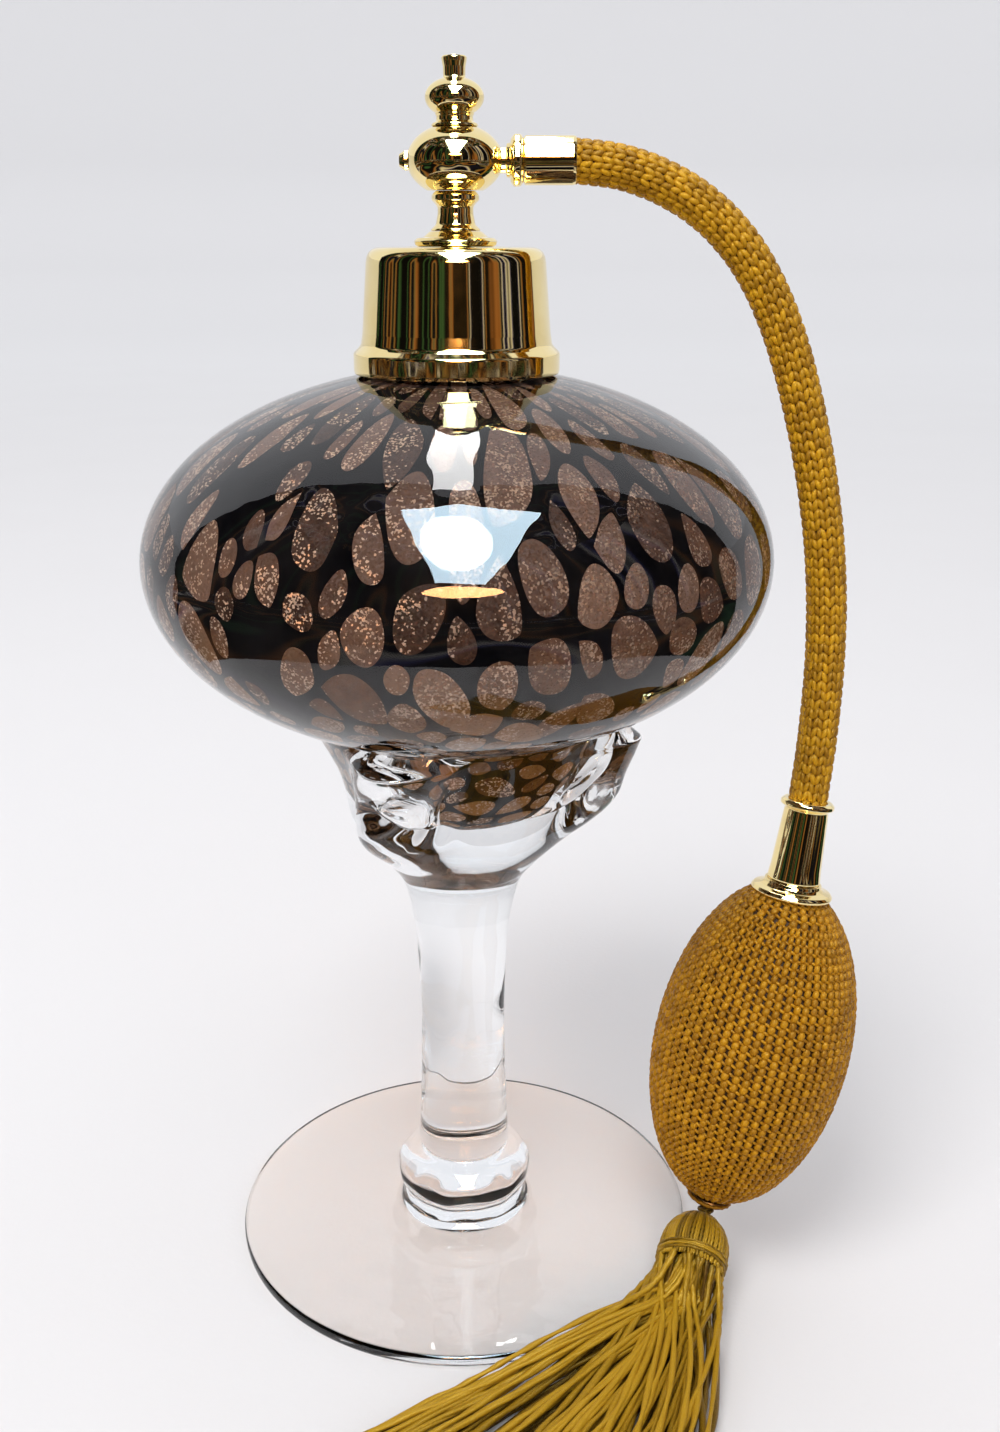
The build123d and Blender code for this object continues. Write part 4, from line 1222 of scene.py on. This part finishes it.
def ground(points):
    """Height of the foot's top, or of the table beyond its rim."""
    r = np.linalg.norm(points[:, :2], axis=1)
    on_foot = 2.6 + np.clip((foot_r - r) / 30, 0, 1) * 1.9
    return on_foot * (1 - ease(np.clip((r - foot_r) / 9.0, 0, 1)))


def tassel_piece(name, verts, faces, stands_for=()):
    """A piece of the tassel, in its thread."""
    return new_piece(name, verts, faces, tassel_thread, "tassel", stands_for)


def strand_line(fan):
    """One strand from the binding to its tip, and how high it lies in the pile.

    fan is its place across the spread, from 0 to 1."""
    root = tassel_top + tassel_down * 10.6
    _, side, other, _ = tassel_place
    angle = 2 * math.pi * random.random()
    spread_r = 6.0 * math.sqrt(random.uniform(0.3, 1.0))
    start = root + side * spread_r * math.cos(angle) + other * spread_r * math.sin(angle)
    level = random.random()
    jitter = random.gauss(0, 1.4)
    length = random.uniform(0.93, 1.0)
    neck = np.array((43.0, -27.0, 0.0))
    end = np.array((-21.0 + 49.0 * fan, -66.0 - 34.0 * fan + 9.0 * fan * (1 - fan) * -1.6, 0.0))
    end = neck + (end - neck) * length
    bow = np.array((22.0 + 28.0 * fan**1.3, -40.5 - 11.0 * fan, 0.0))
    lead = start + tassel_down * 7 + np.array((-3.0 + 4.5 * fan, 0, 0))
    mid = bow + np.array((jitter * 1.6, -abs(jitter) * 0.8, 0))
    tip = end + np.array((random.gauss(0, 1.7), random.gauss(0, 1.6), 0))
    late = mid * 0.35 + tip * 0.65 + np.array((random.gauss(0, 2.4), 0, 0))
    line = bezier([start, lead, mid, late, tip], 48)
    t = np.linspace(0, 1, len(line))
    rest = ground(line) + strand_r + level * (4.0 * (1 - t) ** 1.1 + 2.6)
    drop = ease(np.clip(t / 0.24, 0, 1))
    line[:, 2] = (1 - drop) * np.maximum(line[:, 2], rest) + drop * rest
    line[:, 2] = np.maximum(line[:, 2], ground(line) + strand_r)
    wave = np.sin(t * random.uniform(7, 17) + random.uniform(0, 6))
    line[:, 0] += 0.45 * wave * np.sqrt(t)
    return line, level


def make_skirt():
    """The strands, spread over the foot and the table in front of it."""
    strands, golden = 112, 0.618034
    parts, tones = [], []
    for i in range(strands):
        line, level = strand_line((i * golden) % 1.0)
        parts.append(cord_tube(line, strand_r * random.uniform(0.80, 1.0)))
        # Painted shade: strands low in the pile get a darker tone, for the shade between them, plus
        # a random spread.
        tones.append(0.85 * level + random.uniform(-0.15, 0.10))
    verts, faces, counts = joined(parts)
    skirt = tassel_piece("tassel_strands", verts, faces, ["tassel_skirt"])
    paint_faces(skirt, "tone", np.repeat(tones, counts))


def make_tassel_head():
    """Strands folded over the top and gathered under the binding."""
    origin, side, other, axis = tassel_place
    profile = [(0.9, 0.6), (3.6, 1.1), (6.1, 3.7), (6.6, 6.2), (6.35, 8.4), (5.9, 9.6), (6.0, 11.4)]
    count = 72
    parts = []
    for i in range(count):
        a = 2 * math.pi * i / count + random.gauss(0, 0.02)
        out = side * math.cos(a) + other * math.sin(a)
        line = bezier([origin + out * (r * 1.02) + axis * h for r, h in profile], 22)
        parts.append(cord_tube(line, 0.37, sides=6, twist=2.6))
    verts, faces, counts = joined(parts)
    head = tassel_piece("tassel_head_threads", verts, faces)
    paint_faces(head, "tone", np.repeat(rng.uniform(0.1, 0.8, count), counts))
    core = [(0, 0.8, 0), (2.6, 1.5, 0.8), (5.3, 4.3, 1.5), (5.8, 7.0, 1), (5.6, 9.6, 1),
            (0, 10.0, 0)]
    turned("tassel_head_core", core, tassel_thread, "tassel", "tassel_silk", ["tassel_head"],
           place=tassel_place, segments=48, closed=False)


def make_binding():
    """A few turns of thread wound round the tassel's neck."""
    origin, side, other, axis = tassel_place
    turns, count = 7, 420
    t = np.linspace(0, 1, count)
    a = 2 * math.pi * turns * t
    height = 8.8 + 1.8 * t + 0.35 * np.sin(a) + 0.16 * np.sin(a * 0.37)
    radius = 6.45 + 0.10 * np.sin(a * 3.3)
    ring = np.cos(a)[:, None] * side + np.sin(a)[:, None] * other
    line = origin + radius[:, None] * ring + height[:, None] * axis
    verts, faces = cord_tube(line, 0.29, sides=8, twist=3.4)
    piece = tassel_piece("tassel_binding_thread", verts, faces, ["tassel_binding"])
    paint_faces(piece, "tone", 0.42 + 0.3 * np.sin(np.arange(len(faces)) * 0.011))


def make_tassel_cord():
    """The short knotted cord between the bulb's tail and the tassel."""
    start = bulb_place[0] - bulb_place[3] * 1.25
    end = tassel_top + tassel_down * 0.9
    middle_point = (start + end) / 2 + np.array((0.3, 0, 0.2))
    t = np.linspace(0, 2 * math.pi, 30)
    loop = np.stack([1.15 * np.cos(t), 1.1 * np.sin(t), 0.3 * np.sin(2 * t)], 1)
    knot = start * 0.55 + end * 0.45 + loop
    verts, faces, _ = joined([cord_tube(bezier([start, middle_point, end], 16), 0.85, sides=10),
                              cord_tube(knot, 0.5, sides=8)])
    piece = tassel_piece("tassel_knot", verts, faces, ["tassel_cord"])
    paint_faces(piece, "tone", [0.05] * len(faces))


make_skirt()
make_tassel_head()
make_binding()
make_tassel_cord()

# ---- CAD pieces whose shape is right, in better materials -------------------
finishes = {
    "neck_gasket": black_rubber, "cap_liner": ivory_plastic, "dip_tube": tube_plastic,
    "spigot_nut": turned_brass, "nut_washer": turned_brass, "air_jet": turned_brass,
    "outlet_valve_seat": turned_brass, "outlet_valve_cage": turned_brass,
    "inlet_valve_body": aged_brass, "inlet_valve_cage": turned_brass,
    "outlet_valve_ball": steel, "inlet_valve_ball": steel,
}
for node, finish in finishes.items():
    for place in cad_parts[node].material_slots:
        place.material = finish
